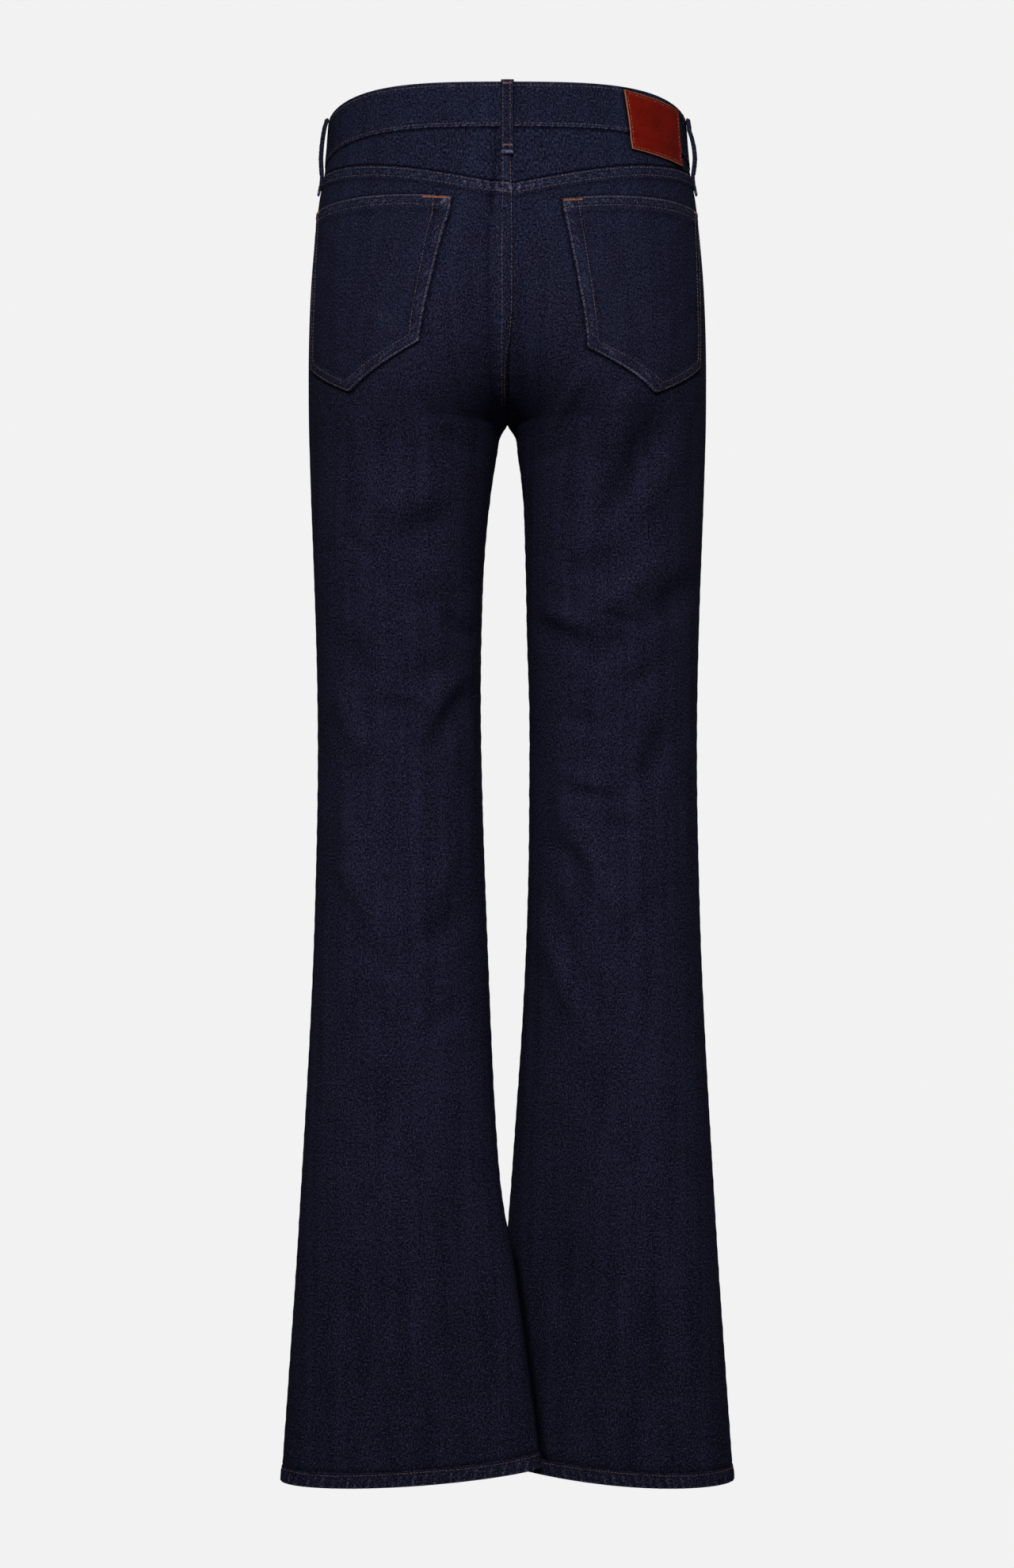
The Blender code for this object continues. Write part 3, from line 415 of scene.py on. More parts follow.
class Dye:
    """A value in a finish's nodes. A sum written with it adds the nodes that work it out."""

    def __init__(self, tree, socket=None):
        self.tree, self.socket = tree, socket

    def node(self, kind, settings, inputs, output=0):
        made = self.tree.nodes.new(kind)
        for name, value in settings.items():
            setattr(made, name, value)
        for name, value in inputs.items():
            if isinstance(value, Dye):
                self.tree.links.new(value.socket, made.inputs[name])
            else:
                made.inputs[name].default_value = value
        return Dye(self.tree, made.outputs[output])

    def maths(self, operation, first, second):
        return self.node("ShaderNodeMath", {"operation": operation}, {0: first, 1: second})

    def __add__(self, other):
        return self.maths("ADD", self, other)

    def __sub__(self, other):
        return self.maths("SUBTRACT", self, other)

    def __rsub__(self, other):
        return self.maths("SUBTRACT", other, self)

    def __mul__(self, other):
        return self.maths("MULTIPLY", self, other)

    __radd__, __rmul__ = __add__, __mul__

    def sine(self):
        return self.maths("SINE", self, 0.0)

    def attribute(self, name, output="Fac"):
        return self.node("ShaderNodeAttribute", {"attribute_name": name}, {}, output)

    def place(self):
        return self.node("ShaderNodeTexCoord", {}, {}, "Object")

    def feed(self, shader, socket):
        self.tree.links.new(self.socket, shader.inputs[socket])

    def split(self, output):
        return self.node("ShaderNodeSeparateXYZ", {}, {0: self}, output)

    def noise(self, across, down, detail=2.0):
        """Noise from -1 to 1 on a vector, by how many times it changes a unit each way."""
        placed = self.node("ShaderNodeMapping", {}, {0: self, "Scale": (across, down, across)})
        found = self.node("ShaderNodeTexNoise", {}, {
            "Vector": placed, "Scale": 1.0, "Detail": detail, "Roughness": 0.6})
        return found * 2.0 - 1.0

    def between(self, low, high):
        return self.node("ShaderNodeMapRange", {"interpolation_type": "SMOOTHSTEP"}, {
            "Value": self, "From Min": low, "From Max": high})

    def colours(self, first, second):
        return self.node("ShaderNodeMix", {"data_type": "RGBA"}, {0: self, 6: first, 7: second}, 2)


def new_finish(name, roughness, gloss):
    """A material, the maker of its nodes and its shader."""
    made = bpy.data.materials.new(name)
    made.use_nodes = True
    shader = made.node_tree.nodes["Principled BSDF"]
    shader.inputs["Roughness"].default_value = roughness
    shader.inputs["Specular IOR Level"].default_value = gloss
    return made, Dye(made.node_tree), shader


def raised(dye, shader, height, millimetres, strength=1.0):
    """Feed a height, in units of so many millimetres, to a shader's normal."""
    bump = dye.node("ShaderNodeBump", {}, {
        "Height": height, "Distance": millimetres / 1000, "Strength": strength})
    bump.feed(shader, "Normal")


INK = (0.0030, 0.0030, 0.0080, 1.0)
INDIGO = (0.0252, 0.0236, 0.0520, 1.0)
INDIGO_AT_WAIST = (0.0203, 0.0250, 0.0550, 1.0)
FLECK = (0.092, 0.096, 0.205, 1.0)
WORN = (0.128, 0.136, 0.232, 1.0)
# The near-black below is painted shade, mixed in where the wear value falls below 0
PAINTED_SHADE = (0.0018, 0.0018, 0.0042, 1.0)
WRONG_SIDE = (0.110, 0.128, 0.175, 1.0)
TWILL_PITCH, TWILL_LEAN = 1.05, 0.55
# The second pair gives the depths below the origin, in metres, over which painted shade darkens the
# lower legs
BLUER_ABOVE, PAINTED_SHADE_BELOW = (-0.32, 0.0), (0.80, 1.08)


def denim_finish(name):
    """Indigo warp over a pale weft: speckled by uneven yarn, with slubs and soft streaks down
    the leg, faint twill lines and pale faded folds. Painted shade mixes in a near-black where
    the pieces mark shade, and darkens the lower legs towards the hems."""
    made, dye, shader = new_finish(name, roughness=0.95, gloss=0.03)
    weave = dye.attribute("weave", "Vector")
    wear_and_painted_shade, wrong = dye.attribute("wear_and_painted_shade"), dye.attribute("wrong_side")
    height = dye.place().split("Z")
    speck = weave.noise(0.78, 0.62, detail=2.0)
    yarn = weave.noise(1.30, 0.15)
    streak = weave.noise(0.10, 0.006, detail=3.0)
    cloud = weave.noise(0.040, 0.026, detail=4.0)
    phase = weave.split("X") * (2 * math.pi / TWILL_PITCH) + weave.split("Y") * (
        2 * math.pi * TWILL_LEAN / TWILL_PITCH)
    twill = (phase + speck * 3.0).sine()
    tone = 0.43 + speck * 1.45 + yarn * 0.42 + streak * 0.24 + cloud * 0.15 + twill * 0.08
    bluer = height.between(*BLUER_ABOVE) * 0.85 + cloud * 0.8 + streak * 0.6
    indigo = bluer.colours(INDIGO, INDIGO_AT_WAIST)
    # Painted shade: the tone darkens down the lower legs towards the hems
    tone = tone - 0.10 * (0.0 - height).between(*PAINTED_SHADE_BELOW)
    colour = tone.between(0.0, 1.02).colours(INK, indigo)
    fleck = (speck + yarn * 0.5).between(0.24, 0.75)
    colour = (fleck * 0.50).colours(colour, FLECK)
    wear_and_shade_marks = (wear_and_painted_shade * (0.80 + speck * 1.3 + yarn * 0.6)).between(0.10, 1.10)
    colour = wear_and_shade_marks.colours(colour, WORN)
    # Painted shade: wear values below 0 darken the colour towards the near-black
    colour = (0.0 - wear_and_painted_shade).between(0.0, 1.0).colours(colour, PAINTED_SHADE)
    colour = (wrong * (0.66 + twill * 0.20 + speck * 0.3)).colours(colour, WRONG_SIDE)
    colour.feed(shader, "Base Color")
    raised(dye, shader, twill * 0.4 + yarn * 0.5 + speck * 0.9, millimetres=0.16, strength=0.8)
    return made


denim = denim_finish("indigo_denim")

# The squares of a panel: rows along its top band, down to the crotch and down the leg
PANEL_ROWS = {"band": 20, "rise": 104, "leg": 200}
PANEL_COLUMNS = {BACK: 88, FRONT: 60}
BAND_DEPTH, CROTCH_ROW_TILT = 13.0, 14.0
ROW_POWER_CENTRE, ROW_POWER_SIDE, ROW_POWER_LEG = 1.6, 1.0, 1.15

# The lines that the panels are cut to: hems, yoke seam, waist and pocket scoops
HEM_HEIGHT, HEM_TUCK, HEM_CUP = 13.0, 3.0, 3.6
HEM_MIDDLE = {LEFT: -1077.2, RIGHT: -1079.5}
HEM_TILT = {LEFT: 8.0, RIGHT: 4.8}
YOKE_CENTRE, YOKE_SIDE, YOKE_POWER, YOKE_ARCH = -50.0, -29.5, 2.5, 3.2
WAIST_SIDE_HEIGHT, WAIST_TILT = 13.5, 28.5
WAIST_DISH_BACK, WAIST_DISH_FRONT = 9.4, -3.5
WAISTBAND_WIDTH, WAIST_SEAM_ALLOWANCE = 36.5, 2.5
SCOOP_WIDTH, SCOOP_DEPTH, SCOOP_POWER = 95.0, 70.0, 1.8
FRONT_WAIST_ARC = 190.0

# The lap of the left side over the right, by height, and how it stands up to clear it
LAPS = {
    BACK: {"width": 4.5, "full_above": -140.0, "narrow_below": -206.0, "gone_below": -222.0},
    FRONT: {"width": 6.0, "full_above": -128.0, "narrow_below": -150.0, "gone_below": -186.0},
}
LAP_LIFT, LAP_FOOT = 1.95, (-1.0, 4.0)
OVERLAP_STANDS_OFF, OVERLAP_RAMP, OVERLAP_TURNS = 2.4, 24.0, (-124.0, -105.0)

# Relief in millimetres, and wear from -1, the darkest painted shade, to 1, rubbed pale
FELLED_ROWS, FELLED_FULL_TO, FELLED_GONE_BY = (2.0, 8.3), 9.3, 12.0
FELLED_LIFT, FELLED_PADDING, FELLED_GROOVE, GROOVE_WIDTH = 0.75, 0.25, 0.36, 0.75
PUCKER, PUCKER_PITCH, PUCKER_MIDDLE, PUCKER_REACH = 0.55, 5.6, 5.2, 3.2
FOLD_EDGE_WEAR, FOLD_EDGE_AT, FOLD_EDGE_WIDTH = 0.50, 0.9, 0.7
# SHADE_BESIDE and its place and width: a line of painted shade beside felled seams and pocket edges
SHADE_BESIDE, SHADE_AT, SHADE_WIDTH = 0.40, 11.5, 2.0
SEAT_SEAM_PALE, YOKE_SEAM_PALE, YOKE_SEAM_PALER, PALER_WITHIN = 0.17, 0.20, 0.16, 45.0
SEAT_FELLED_FROM, SEAT_FELLED_FULL_BY, SEAT_SEED = CROTCH + 2.0, CROTCH + 22.0, 0.6
SEAM_ROPING, SEAM_ROPING_PITCH, SEAM_ROPED_TO, SEAM_SMOOTH_BY = 0.22, 15.0, 3.0, 14.0
OUTSEAM_WEAR, OUTSEAM_WEAR_WIDTH = 0.30, 1.2
# COVERED_SHADE and its reach and heights: a painted shadow of the left leg's end on the right leg
# near the hem
COVERED_SHADE, COVERED_REACH, COVERED_FROM, COVERED_FULL_BY = 1.1, 5.0, -872.0, -915.0
# Fold troughs are painted darker as shade; fold ridges are paler, partly as wear and partly as a
# painted highlight
FOLD_WEAR_AND_SHADING, FOLD_WEAR_AND_SHADING_PER, FOLD_WEAR_AND_SHADING_LIMITS = 0.30, 5.0, (-1.8, 0.6)


def hem_line(half, turn):
    """Height of the hem's lower edge, higher at the inseam than at the outseam."""
    inwards = np.cos(np.radians(turn))
    return HEM_MIDDLE[half] + HEM_TILT[half] * inwards + HEM_CUP * inwards ** 2


def waist_top(turn):
    """Height of the waistband's upper edge: high at the back and low at the front."""
    rise = np.sin(np.radians(turn))
    dish = np.where(rise > 0, WAIST_DISH_BACK, WAIST_DISH_FRONT)
    return WAIST_SIDE_HEIGHT + WAIST_TILT * rise - dish * rise ** 4


def waist_seam(turn):
    """Height of the waistband's lower edge."""
    return waist_top(turn) - WAISTBAND_WIDTH


def yoke_seam(share):
    """Height of the seam under the yoke, from 0 at the centre back to 1 at the side."""
    share = np.clip(share, 0.0, 1.0)
    arch = YOKE_ARCH * np.sin(np.pi * share) ** 2
    return YOKE_CENTRE + (YOKE_SIDE - YOKE_CENTRE) * (1 - (1 - share) ** YOKE_POWER) + arch


def back_top(share):
    """Height of the back panel's upper edge, under the yoke."""
    return yoke_seam(share) - SEAM_GAP / 2


def front_top(share):
    """Height of the front panel's upper edge, with the pocket's scoop cut out of it."""
    from_side = (1 - np.clip(share, 0.0, 1.0)) * FRONT_WAIST_ARC / SCOOP_WIDTH
    scoop = SCOOP_DEPTH * np.maximum(1 - from_side ** SCOOP_POWER, 0.0) ** (1 / SCOOP_POWER)
    return waist_seam(-90.0 - (90.0 - SEAM_TURN) * share) + WAIST_SEAM_ALLOWANCE - scoop


def lap_width(half, face, height):
    """How far the left side reaches over the right at the seat seam and at the fly."""
    lap = LAPS[face]
    return lap["width"] * ease(height, lap["narrow_below"], lap["full_above"]) * (half == LEFT)


def lap_lift(half, face, height, from_inner):
    """How far a lapped edge stands up to clear what it lies on."""
    lap = LAPS[face]
    if half == RIGHT:
        return 0.0 * height
    sunk = ease(height, lap["gone_below"], lap["narrow_below"])
    foot = [2 * lap["width"] + edge for edge in LAP_FOOT]
    return LAP_LIFT * sunk * fade(from_inner, *foot)


def felled(distance, along, seed, pale):
    """The relief of a felled seam, and how it fades pale with a line of painted shade beside it,
    by the distance from its folded edge: a padded band that two rows of stitches draw in, and
    that puckers between them, paler as given."""
    band = fade(distance, FELLED_FULL_TO, FELLED_GONE_BY)
    rows = sum(hump(distance, row, GROOVE_WIDTH) for row in FELLED_ROWS)
    between = hump(distance, PUCKER_MIDDLE, PUCKER_REACH) * band
    waves = ripple(along + 0.5 * distance, PUCKER_PITCH, seed)
    relief = band * FELLED_LIFT + between * (FELLED_PADDING + PUCKER * waves)
    wear_and_shade = FOLD_EDGE_WEAR * hump(distance, FOLD_EDGE_AT, FOLD_EDGE_WIDTH) * (0.6 + 0.4 * waves)
    wear_and_shade = wear_and_shade + pale * between * (1 + 1.2 * waves)
    # The second value takes off a line of painted shade just past the band
    return relief - FELLED_GROOVE * rows, wear_and_shade - SHADE_BESIDE * hump(
        distance, SHADE_AT, SHADE_WIDTH)


def panel_places(half, face, across, first_height, height_at):
    """Where the places across a panel lie: how far its inner edge laps the centre, and for each
    place its share of the way, turn and height and how far the two edges are."""
    width = np.maximum(lap_width(half, face, first_height), SEAM_CATCH)
    start = inner_turn(face, first_height)
    spread = np.abs(edge_turn(half, face, first_height) - start)
    before = -width / turn_speed(half, start, first_height) / spread
    share = before + (1 - before) * across
    height = height_at(share)
    turn = turn_across(half, face, height, share)
    speed = turn_speed(half, turn, height)
    return width, share, turn, height, (share - before) * spread * speed, (
        (1 - share) * spread * speed)


def both_faces(half, ground, normals, lift, width):
    """The outer and the inner face of a wall of denim, whose edge at the centre goes no further
    past the centre plane than its lap."""
    normals = normals / np.maximum(np.linalg.norm(normals, axis=-1, keepdims=True), 1e-9)
    faces = []
    for depth in (lift, lift - DENIM_THICKNESS):
        points = moved_out(ground, normals, depth)
        reach = half * points[..., 0]
        above = points[..., 2] > CREASE_FADES_BY
        points[..., 0] = half * np.where(above, np.maximum(reach, -width), reach)
        faces.append(points)
    return faces


def leg_panel(name, half, face, top_height):
    """A front or back leg panel, from its top edge to the hem."""
    band, rise, leg = PANEL_ROWS["band"], PANEL_ROWS["rise"], PANEL_ROWS["leg"]

    def height_at(share, row):
        crotch_row = CROTCH + CROTCH_ROW_TILT * share
        top = top_height(share)
        rising = np.clip((rise - row) / (rise - band), 0.0, 1.0)
        power = ROW_POWER_CENTRE + (ROW_POWER_SIDE - ROW_POWER_CENTRE) * share
        above = crotch_row + (top - BAND_DEPTH - crotch_row) * rising ** power
        going_down = np.clip((row - rise) / leg, 0.0, 1.0) ** ROW_POWER_LEG
        turn = -SEAM_TURN + (face * 180.0 + 2 * SEAM_TURN) * share
        bottom = hem_line(half, turn) + HEM_HEIGHT - HEM_TUCK
        height = np.where(row > rise, crotch_row + (bottom - crotch_row) * going_down, above)
        return np.where(row < band, top - BAND_DEPTH * row / band, height)

    def place(across, down):
        row = np.rint(down * (rise + leg))
        width, share, turn, height, from_inner, from_outer = panel_places(
            half, face, across, height_at(0 * across, row), lambda share: height_at(share, row))
        from_top = top_height(share) - height
        roped = SEAM_ROPING * ripple(height, SEAM_ROPING_PITCH, 1.0 + face + 0.4 * half)
        lift = roped * sum(fade(from_edge, SEAM_ROPED_TO, SEAM_SMOOTH_BY)
                           for from_edge in (from_outer, from_inner))
        wear_and_shade = OUTSEAM_WEAR * hump(from_outer, OUTSEAM_WEAR_WIDTH, OUTSEAM_WEAR_WIDTH)
        if face == BACK:
            pale = YOKE_SEAM_PALE + YOKE_SEAM_PALER * hump(from_inner, 0.0, PALER_WITHIN)
            relief, wear_and_shade_marks = felled(from_top, from_inner, 1.7 * half, pale)
            lift, wear_and_shade = lift + relief, wear_and_shade + wear_and_shade_marks
            if half == LEFT:
                relief, wear_and_shade_marks = felled(from_inner, height, SEAT_SEED, SEAT_SEAM_PALE)
                fading = ease(height, SEAT_FELLED_FROM, SEAT_FELLED_FULL_BY)
                lift, wear_and_shade = lift + relief * fading, wear_and_shade + wear_and_shade_marks * fading
        ground, normals = cloth_at(half, turn, height)
        out_from_centre = half * ground[..., 0]
        # Painted shadow of the left leg's end on the right back panel
        if half == RIGHT:
            uncovered = np.maximum(out_from_centre + read("gap_left", height), 0.0)
            covered = hump(uncovered, 0.0, COVERED_REACH)
            wear_and_shade = wear_and_shade - COVERED_SHADE * covered * fade(height, COVERED_FULL_BY, COVERED_FROM)
        fold = fold_height(half, turn, out_from_centre, height)
        # Painted shade in fold troughs, and ridges paler, partly wear and partly painted highlight
        wear_and_shade = wear_and_shade + FOLD_WEAR_AND_SHADING * np.clip(fold / FOLD_WEAR_AND_SHADING_PER, *FOLD_WEAR_AND_SHADING_LIMITS)
        lapped = lap_lift(half, face, height, from_inner)
        if half == LEFT and face == FRONT:
            near_band = fade(from_top, WAIST_SEAM_ALLOWANCE, OVERLAP_RAMP)
            lapped = np.maximum(lapped, OVERLAP_STANDS_OFF * near_band * ease(turn, *OVERLAP_TURNS))
        lift = lift + lapped
        for edge in (from_outer, from_inner, from_top, height - height[-1]):
            lift = lift - turned_in(edge)
        first = across < 1e-9
        at_crotch = first & (row == rise)
        normals[first & (height >= CROTCH), 0] = 0.0
        normals[at_crotch] = (0.0, 0.0, -1.0)
        outer, inner = both_faces(half, ground, normals, lift, width)
        outer[at_crotch, 1] = inner[at_crotch, 1] = face * SEAM_GAP / 2
        return outer, inner, wear_and_shade

    rows = np.arange(rise + leg + 1) / (rise + leg)
    return cloth(name, graded(PANEL_COLUMNS[face], 0.8), rows, place)


panels = {}
for half, word in ((LEFT, "left"), (RIGHT, "right")):
    for face, side, top_height, flat, area in (
            (BACK, "back", back_top, (0.33, 1.06), 0.255),
            (FRONT, "front", front_top, (0.29, 1.06), 0.225)):
        mesh = leg_panel(f"{side}_leg_{word}", half, face, top_height)
        panels[half, face] = dress(mesh.name, mesh, denim, "denim", f"{side}_panel_{word}")


# ---- Yokes -------------------------------------------------------------------------------
# Two pointed pieces between the waistband and the back panels, which shape the seat. The left
# one laps over the right, and both tuck under the folded top edges of the panels below.

YOKE_COLUMNS, YOKE_ROWS = 110, 44
YOKE_WAVE, YOKE_WAVE_PITCH, YOKE_WAVE_FULL_TO, YOKE_WAVE_GONE_BY = 0.12, 19.0, 2.0, 16.0
# TUCKED_SHADE: painted shade along the yoke's lower edge, where it tucks under the panel's folded
# edge
TUCKED_SHADE, TUCKED_TO, TUCKED_GONE_BY = 0.62, 0.4, 2.8
PRESSED_TO, UNPRESSED_BELOW = WAIST_SEAM_ALLOWANCE + 1.0, 16.0


def yoke(name, half):
    """A yoke, from the centre back to the side."""
    def edges_at(share):
        top = waist_seam(90.0 + (90.0 + SEAM_TURN) * share) + WAIST_SEAM_ALLOWANCE
        return top, yoke_seam(share) + SEAM_GAP / 2

    def height_at(share, down):
        top, bottom = edges_at(share)
        return top + (bottom - top) * down

    def place(across, down):
        width, share, turn, height, from_inner, from_outer = panel_places(
            half, BACK, across, yoke_seam(0 * across), lambda share: height_at(share, down))
        top, bottom = edges_at(share)
        from_bottom = height - bottom
        lift = YOKE_WAVE * ripple(from_inner, YOKE_WAVE_PITCH, 0.8 * half) * (
            fade(from_bottom, YOKE_WAVE_FULL_TO, YOKE_WAVE_GONE_BY))
        # Painted shade where the yoke tucks under the panel below
        wear_and_shade = -TUCKED_SHADE * fade(from_bottom, TUCKED_TO, TUCKED_GONE_BY)
        if half == LEFT:
            relief, wear_and_shade_marks = felled(from_inner, height, SEAT_SEED, SEAT_SEAM_PALE)
            pressed = ease(top - height, PRESSED_TO, UNPRESSED_BELOW)
            lift = lift + (relief + lap_lift(half, BACK, height, from_inner)) * pressed
            wear_and_shade = wear_and_shade + wear_and_shade_marks
        for edge in (from_inner, from_outer, from_bottom, top - height):
            lift = lift - turned_in(edge)
        ground, normals = cloth_at(half, turn, height)
        normals[across < 1e-9, 0] = 0.0
        outer, inner = both_faces(half, ground, normals, lift, width)
        return outer, inner, wear_and_shade

    return cloth(name, graded(YOKE_COLUMNS, 0.6), graded(YOKE_ROWS, 0.7), place)


yokes = {}
for half, word in ((LEFT, "left"), (RIGHT, "right")):
    mesh = yoke(f"back_yoke_{word}", half)
    yokes[half] = dress(f"back_yoke_{word}", mesh, denim, "denim", f"yoke_{word}")


# ---- Topstitching of the seat, the yokes and the fly -------------------------------------
# Rust-brown polyester thread in two rows, six to seven stitches to 20 mm. It holds the felled
# seams of the seat and the yokes, the fly's curved end and the edges of the front pockets.

THREAD_WIDTH, THREAD_HEIGHT, THREAD_SHOWS, THREAD_STANDS = 0.55, 0.42, 0.74, 0.22
THREAD_OVERRUN, THREAD_SEGMENTS, THREAD_RINGS = 1.06, 6, 4
SEAM_PITCH, PITCH_VARIES = 3.2, 0.07
NEEDLE_FROM, NEEDLE_REACH, NEEDLE_MISSES = 9.0, 20.0, 2.0
TACK_PITCH, TACK_LEAN = 0.42, 0.12
RUST = (0.045, 0.028, 0.029, 1.0), (0.200, 0.115, 0.107, 1.0)
COPPER = (0.170, 0.048, 0.018, 1.0), (0.400, 0.130, 0.045, 1.0)


def thread_finish(name):
    """Twisted thread: each stitch a little lighter or darker, and glossier than the cloth."""
    made, dye, shader = new_finish(name, roughness=0.55, gloss=0.3)
    shade, tint = dye.attribute("shade"), dye.attribute("tint")
    place = dye.place()
    twist = place.noise(2600.0, 2600.0, detail=1.0)
    colour = (twist * 0.2 + tint).between(0.0, 1.0).colours(
        shade.colours(*RUST), shade.colours(*COPPER))
    colour.feed(shader, "Base Color")
    raised(dye, shader, twist, millimetres=0.05)
    return made


thread = thread_finish("topstitch_thread")


def skin(*pieces):
    """What a needle meets: the outer faces of some pieces together."""
    whole = bmesh.new()
    for piece in pieces:
        whole.from_mesh(piece.data)
    found = BVHTree.FromBMesh(whole)
    whole.free()
    return found


def run_of_stitches(ground, normals, pitch, seed=0):
    """Both ends of each stitch along a line of points, and the way out of the cloth there."""
    lengths = distance_along(ground)
    count = max(int(lengths[-1] / pitch), 1)
    chance = np.random.default_rng(seed)
    starts = lengths[-1] * np.arange(count) / count
    starts = starts + chance.normal(0.0, PITCH_VARIES * pitch, count)
    ends = starts + THREAD_SHOWS * lengths[-1] / count

    def pick(places, values):
        return np.stack([np.interp(places, lengths, column) for column in values.T], axis=1)

    return pick(starts, ground), pick(ends, ground), pick((starts + ends) / 2, normals)


def sew(name, runs, cloth_skin, tint=0.0, width=THREAD_WIDTH, seed=0):
    """Lay a thread on the cloth for every stitch in some runs, as one piece."""
    one_stitch = bmesh.new()
    bmesh.ops.create_uvsphere(
        one_stitch, u_segments=THREAD_SEGMENTS, v_segments=THREAD_RINGS, radius=0.5)
    mesh = bpy.data.meshes.new(name)
    one_stitch.to_mesh(mesh)
    one_stitch.free()
    shape = np.array([vert.co[:] for vert in mesh.vertices])
    starts, ends, out = (np.concatenate(part) for part in zip(*runs))
    laid_ends = []
    for points in (starts, ends):
        met = []
        for point, way in zip(points, out):
            hit = cloth_skin.ray_cast(
                Vector((point + way * NEEDLE_FROM) / 1000), Vector(-way), NEEDLE_REACH / 1000)[0]
            met.append(np.array(hit) * 1000 if hit else point + way * NEEDLE_MISSES)
        laid_ends.append(np.array(met))
    starts, ends = laid_ends
    run = ends - starts
    length = np.linalg.norm(run, axis=1, keepdims=True)
    run = run / np.maximum(length, 1e-6)
    side = np.cross(out, run)
    side = side / np.maximum(np.linalg.norm(side, axis=1, keepdims=True), 1e-6)
    up = np.cross(run, side)
    middle = (starts + ends) / 2 + up * THREAD_HEIGHT * THREAD_STANDS
    axes = np.stack([side * width, up * THREAD_HEIGHT, run * length * THREAD_OVERRUN], axis=1)
    points = middle[:, None] + np.einsum("vk,nkx->nvx", shape, axes)
    many = bmesh.new()
    for _ in range(len(points)):
        many.from_mesh(mesh)
    many.to_mesh(mesh)
    many.free()
    mesh.vertices.foreach_set("co", (points.reshape(-1) / 1000).astype(np.float32))
    chance = np.random.default_rng(100 + seed)
    shade = np.repeat(chance.uniform(0.0, 1.0, len(points)), len(shape))
    for label, values in (("shade", shade), ("tint", np.full(len(shade), tint))):
        mesh.attributes.new(label, "FLOAT", "POINT").data.foreach_set(
            "value", values.astype(np.float32))
    return dress(name, mesh, thread, "topstitch")


def bartack(middle, along, out, length, width):
    """A run of close threads across a short line: both ends of each, and the way out."""
    along = along / np.linalg.norm(along)
    across = np.cross(out, along)
    count = int(length / TACK_PITCH)
    places = middle + along * (np.linspace(-0.5, 0.5, count) * length)[:, None]
    lean = TACK_LEAN * along * (-1.0) ** np.arange(count)[:, None]
    return places - across * width / 2 - lean, places + across * width / 2 + lean, (
        np.tile(out, (count, 1)))


LEVEL_STEP, STEPS_ACROSS = 3.0, np.arange(0.0, 186.0, 1.5)


def turn_at(half, face, distance, height):
    """The turn at a distance along the cloth from the centre seam or the inseam."""
    distance, height = np.broadcast_arrays(distance, height)
    steps = STEPS_ACROSS
    levels = np.arange(height.min() - LEVEL_STEP, height.max() + 2 * LEVEL_STEP, LEVEL_STEP)
    run = inner_turn(face, levels)[:, None] + face * steps
    lengths = distance_along(surface(half, run, levels[:, None] + 0 * run))
    turns = np.empty(distance.shape)
    for index in np.ndindex(distance.shape):
        level = (height[index] - levels[0]) / LEVEL_STEP
        low = int(level)
        found = [np.interp(abs(distance[index]), lengths[row], steps) for row in (low, low + 1)]
        reach = found[0] + (found[1] - found[0]) * (level - low)
        turns[index] = inner_turn(face, height[index]) + face * reach * (
            1 if distance[index] >= 0 else -1)
    return turns


def line_on(half, face, line, samples=160):
    """Points and normals on the cloth along a line of (distance from the centre, height)."""
    line = np.array(line, dtype=float)
    lengths = distance_along(line)
    places = np.linspace(0.0, lengths[-1], samples)
    reach, height = (np.interp(places, lengths, column) for column in line.T)
    return cloth_at(half, turn_at(half, face, reach, height), height)


def paint_shade_beside(over, under, reach=3.0, depth=0.9):
    """Paint shade on the pieces under some others, close beside these, darker the nearer they
    lie."""
    cover = skin(*over)
    low, high = corners_of(over)
    for piece in under:
        mesh = piece.data
        wear_and_shade = np.empty(len(mesh.vertices), np.float32)
        mesh.attributes["wear_and_painted_shade"].data.foreach_get("value", wear_and_shade)
        for vert in mesh.vertices:
            if all(low[axis] < vert.co[axis] < high[axis] for axis in range(3)):
                gap = cover.find_nearest(vert.co, reach / 1000)[3]
                if gap is not None:
                    near = 1 - gap * 1000 / reach
                    wear_and_shade[vert.index] -= depth * near ** 0.7 * (1 + max(wear_and_shade[vert.index], 0.0))
        mesh.attributes["wear_and_painted_shade"].data.foreach_set("value", wear_and_shade)


def corners_of(pieces, margin=0.004):
    """The lowest and the highest corner of some pieces' points, a little beyond them."""
    points = np.array([vert.co[:] for piece in pieces for vert in piece.data.vertices])
    return points.min(axis=0) - margin, points.max(axis=0) + margin


back_skin = skin(panels[LEFT, BACK], panels[RIGHT, BACK], yokes[LEFT], yokes[RIGHT])
front_skin = skin(panels[LEFT, FRONT], panels[RIGHT, FRONT])
SEAT_ROWS_FROM, SEAT_ROWS_TO = 8.0, CROTCH + 12.0
YOKE_ROWS_FROM, ROWS_STOP_AT = {LEFT: -0.004, RIGHT: 0.022}, 0.985
seat_heights = np.linspace(SEAT_ROWS_FROM, SEAT_ROWS_TO, 260)
rows = []
for number, offset in enumerate(FELLED_ROWS):
    reach = offset - lap_width(LEFT, BACK, seat_heights)
    start = inner_turn(BACK, seat_heights)
    turn = start + reach / turn_speed(LEFT, start, seat_heights)
    rows.append(run_of_stitches(*cloth_at(LEFT, turn, seat_heights), SEAM_PITCH, seed=number))
    for half in (LEFT, RIGHT):
        share = np.linspace(YOKE_ROWS_FROM[half], ROWS_STOP_AT, 200)
        height = yoke_seam(share) - offset
        turn = turn_across(half, BACK, height, share)
        rows.append(run_of_stitches(
            *cloth_at(half, turn, height), SEAM_PITCH, seed=3 * number + half + 5))
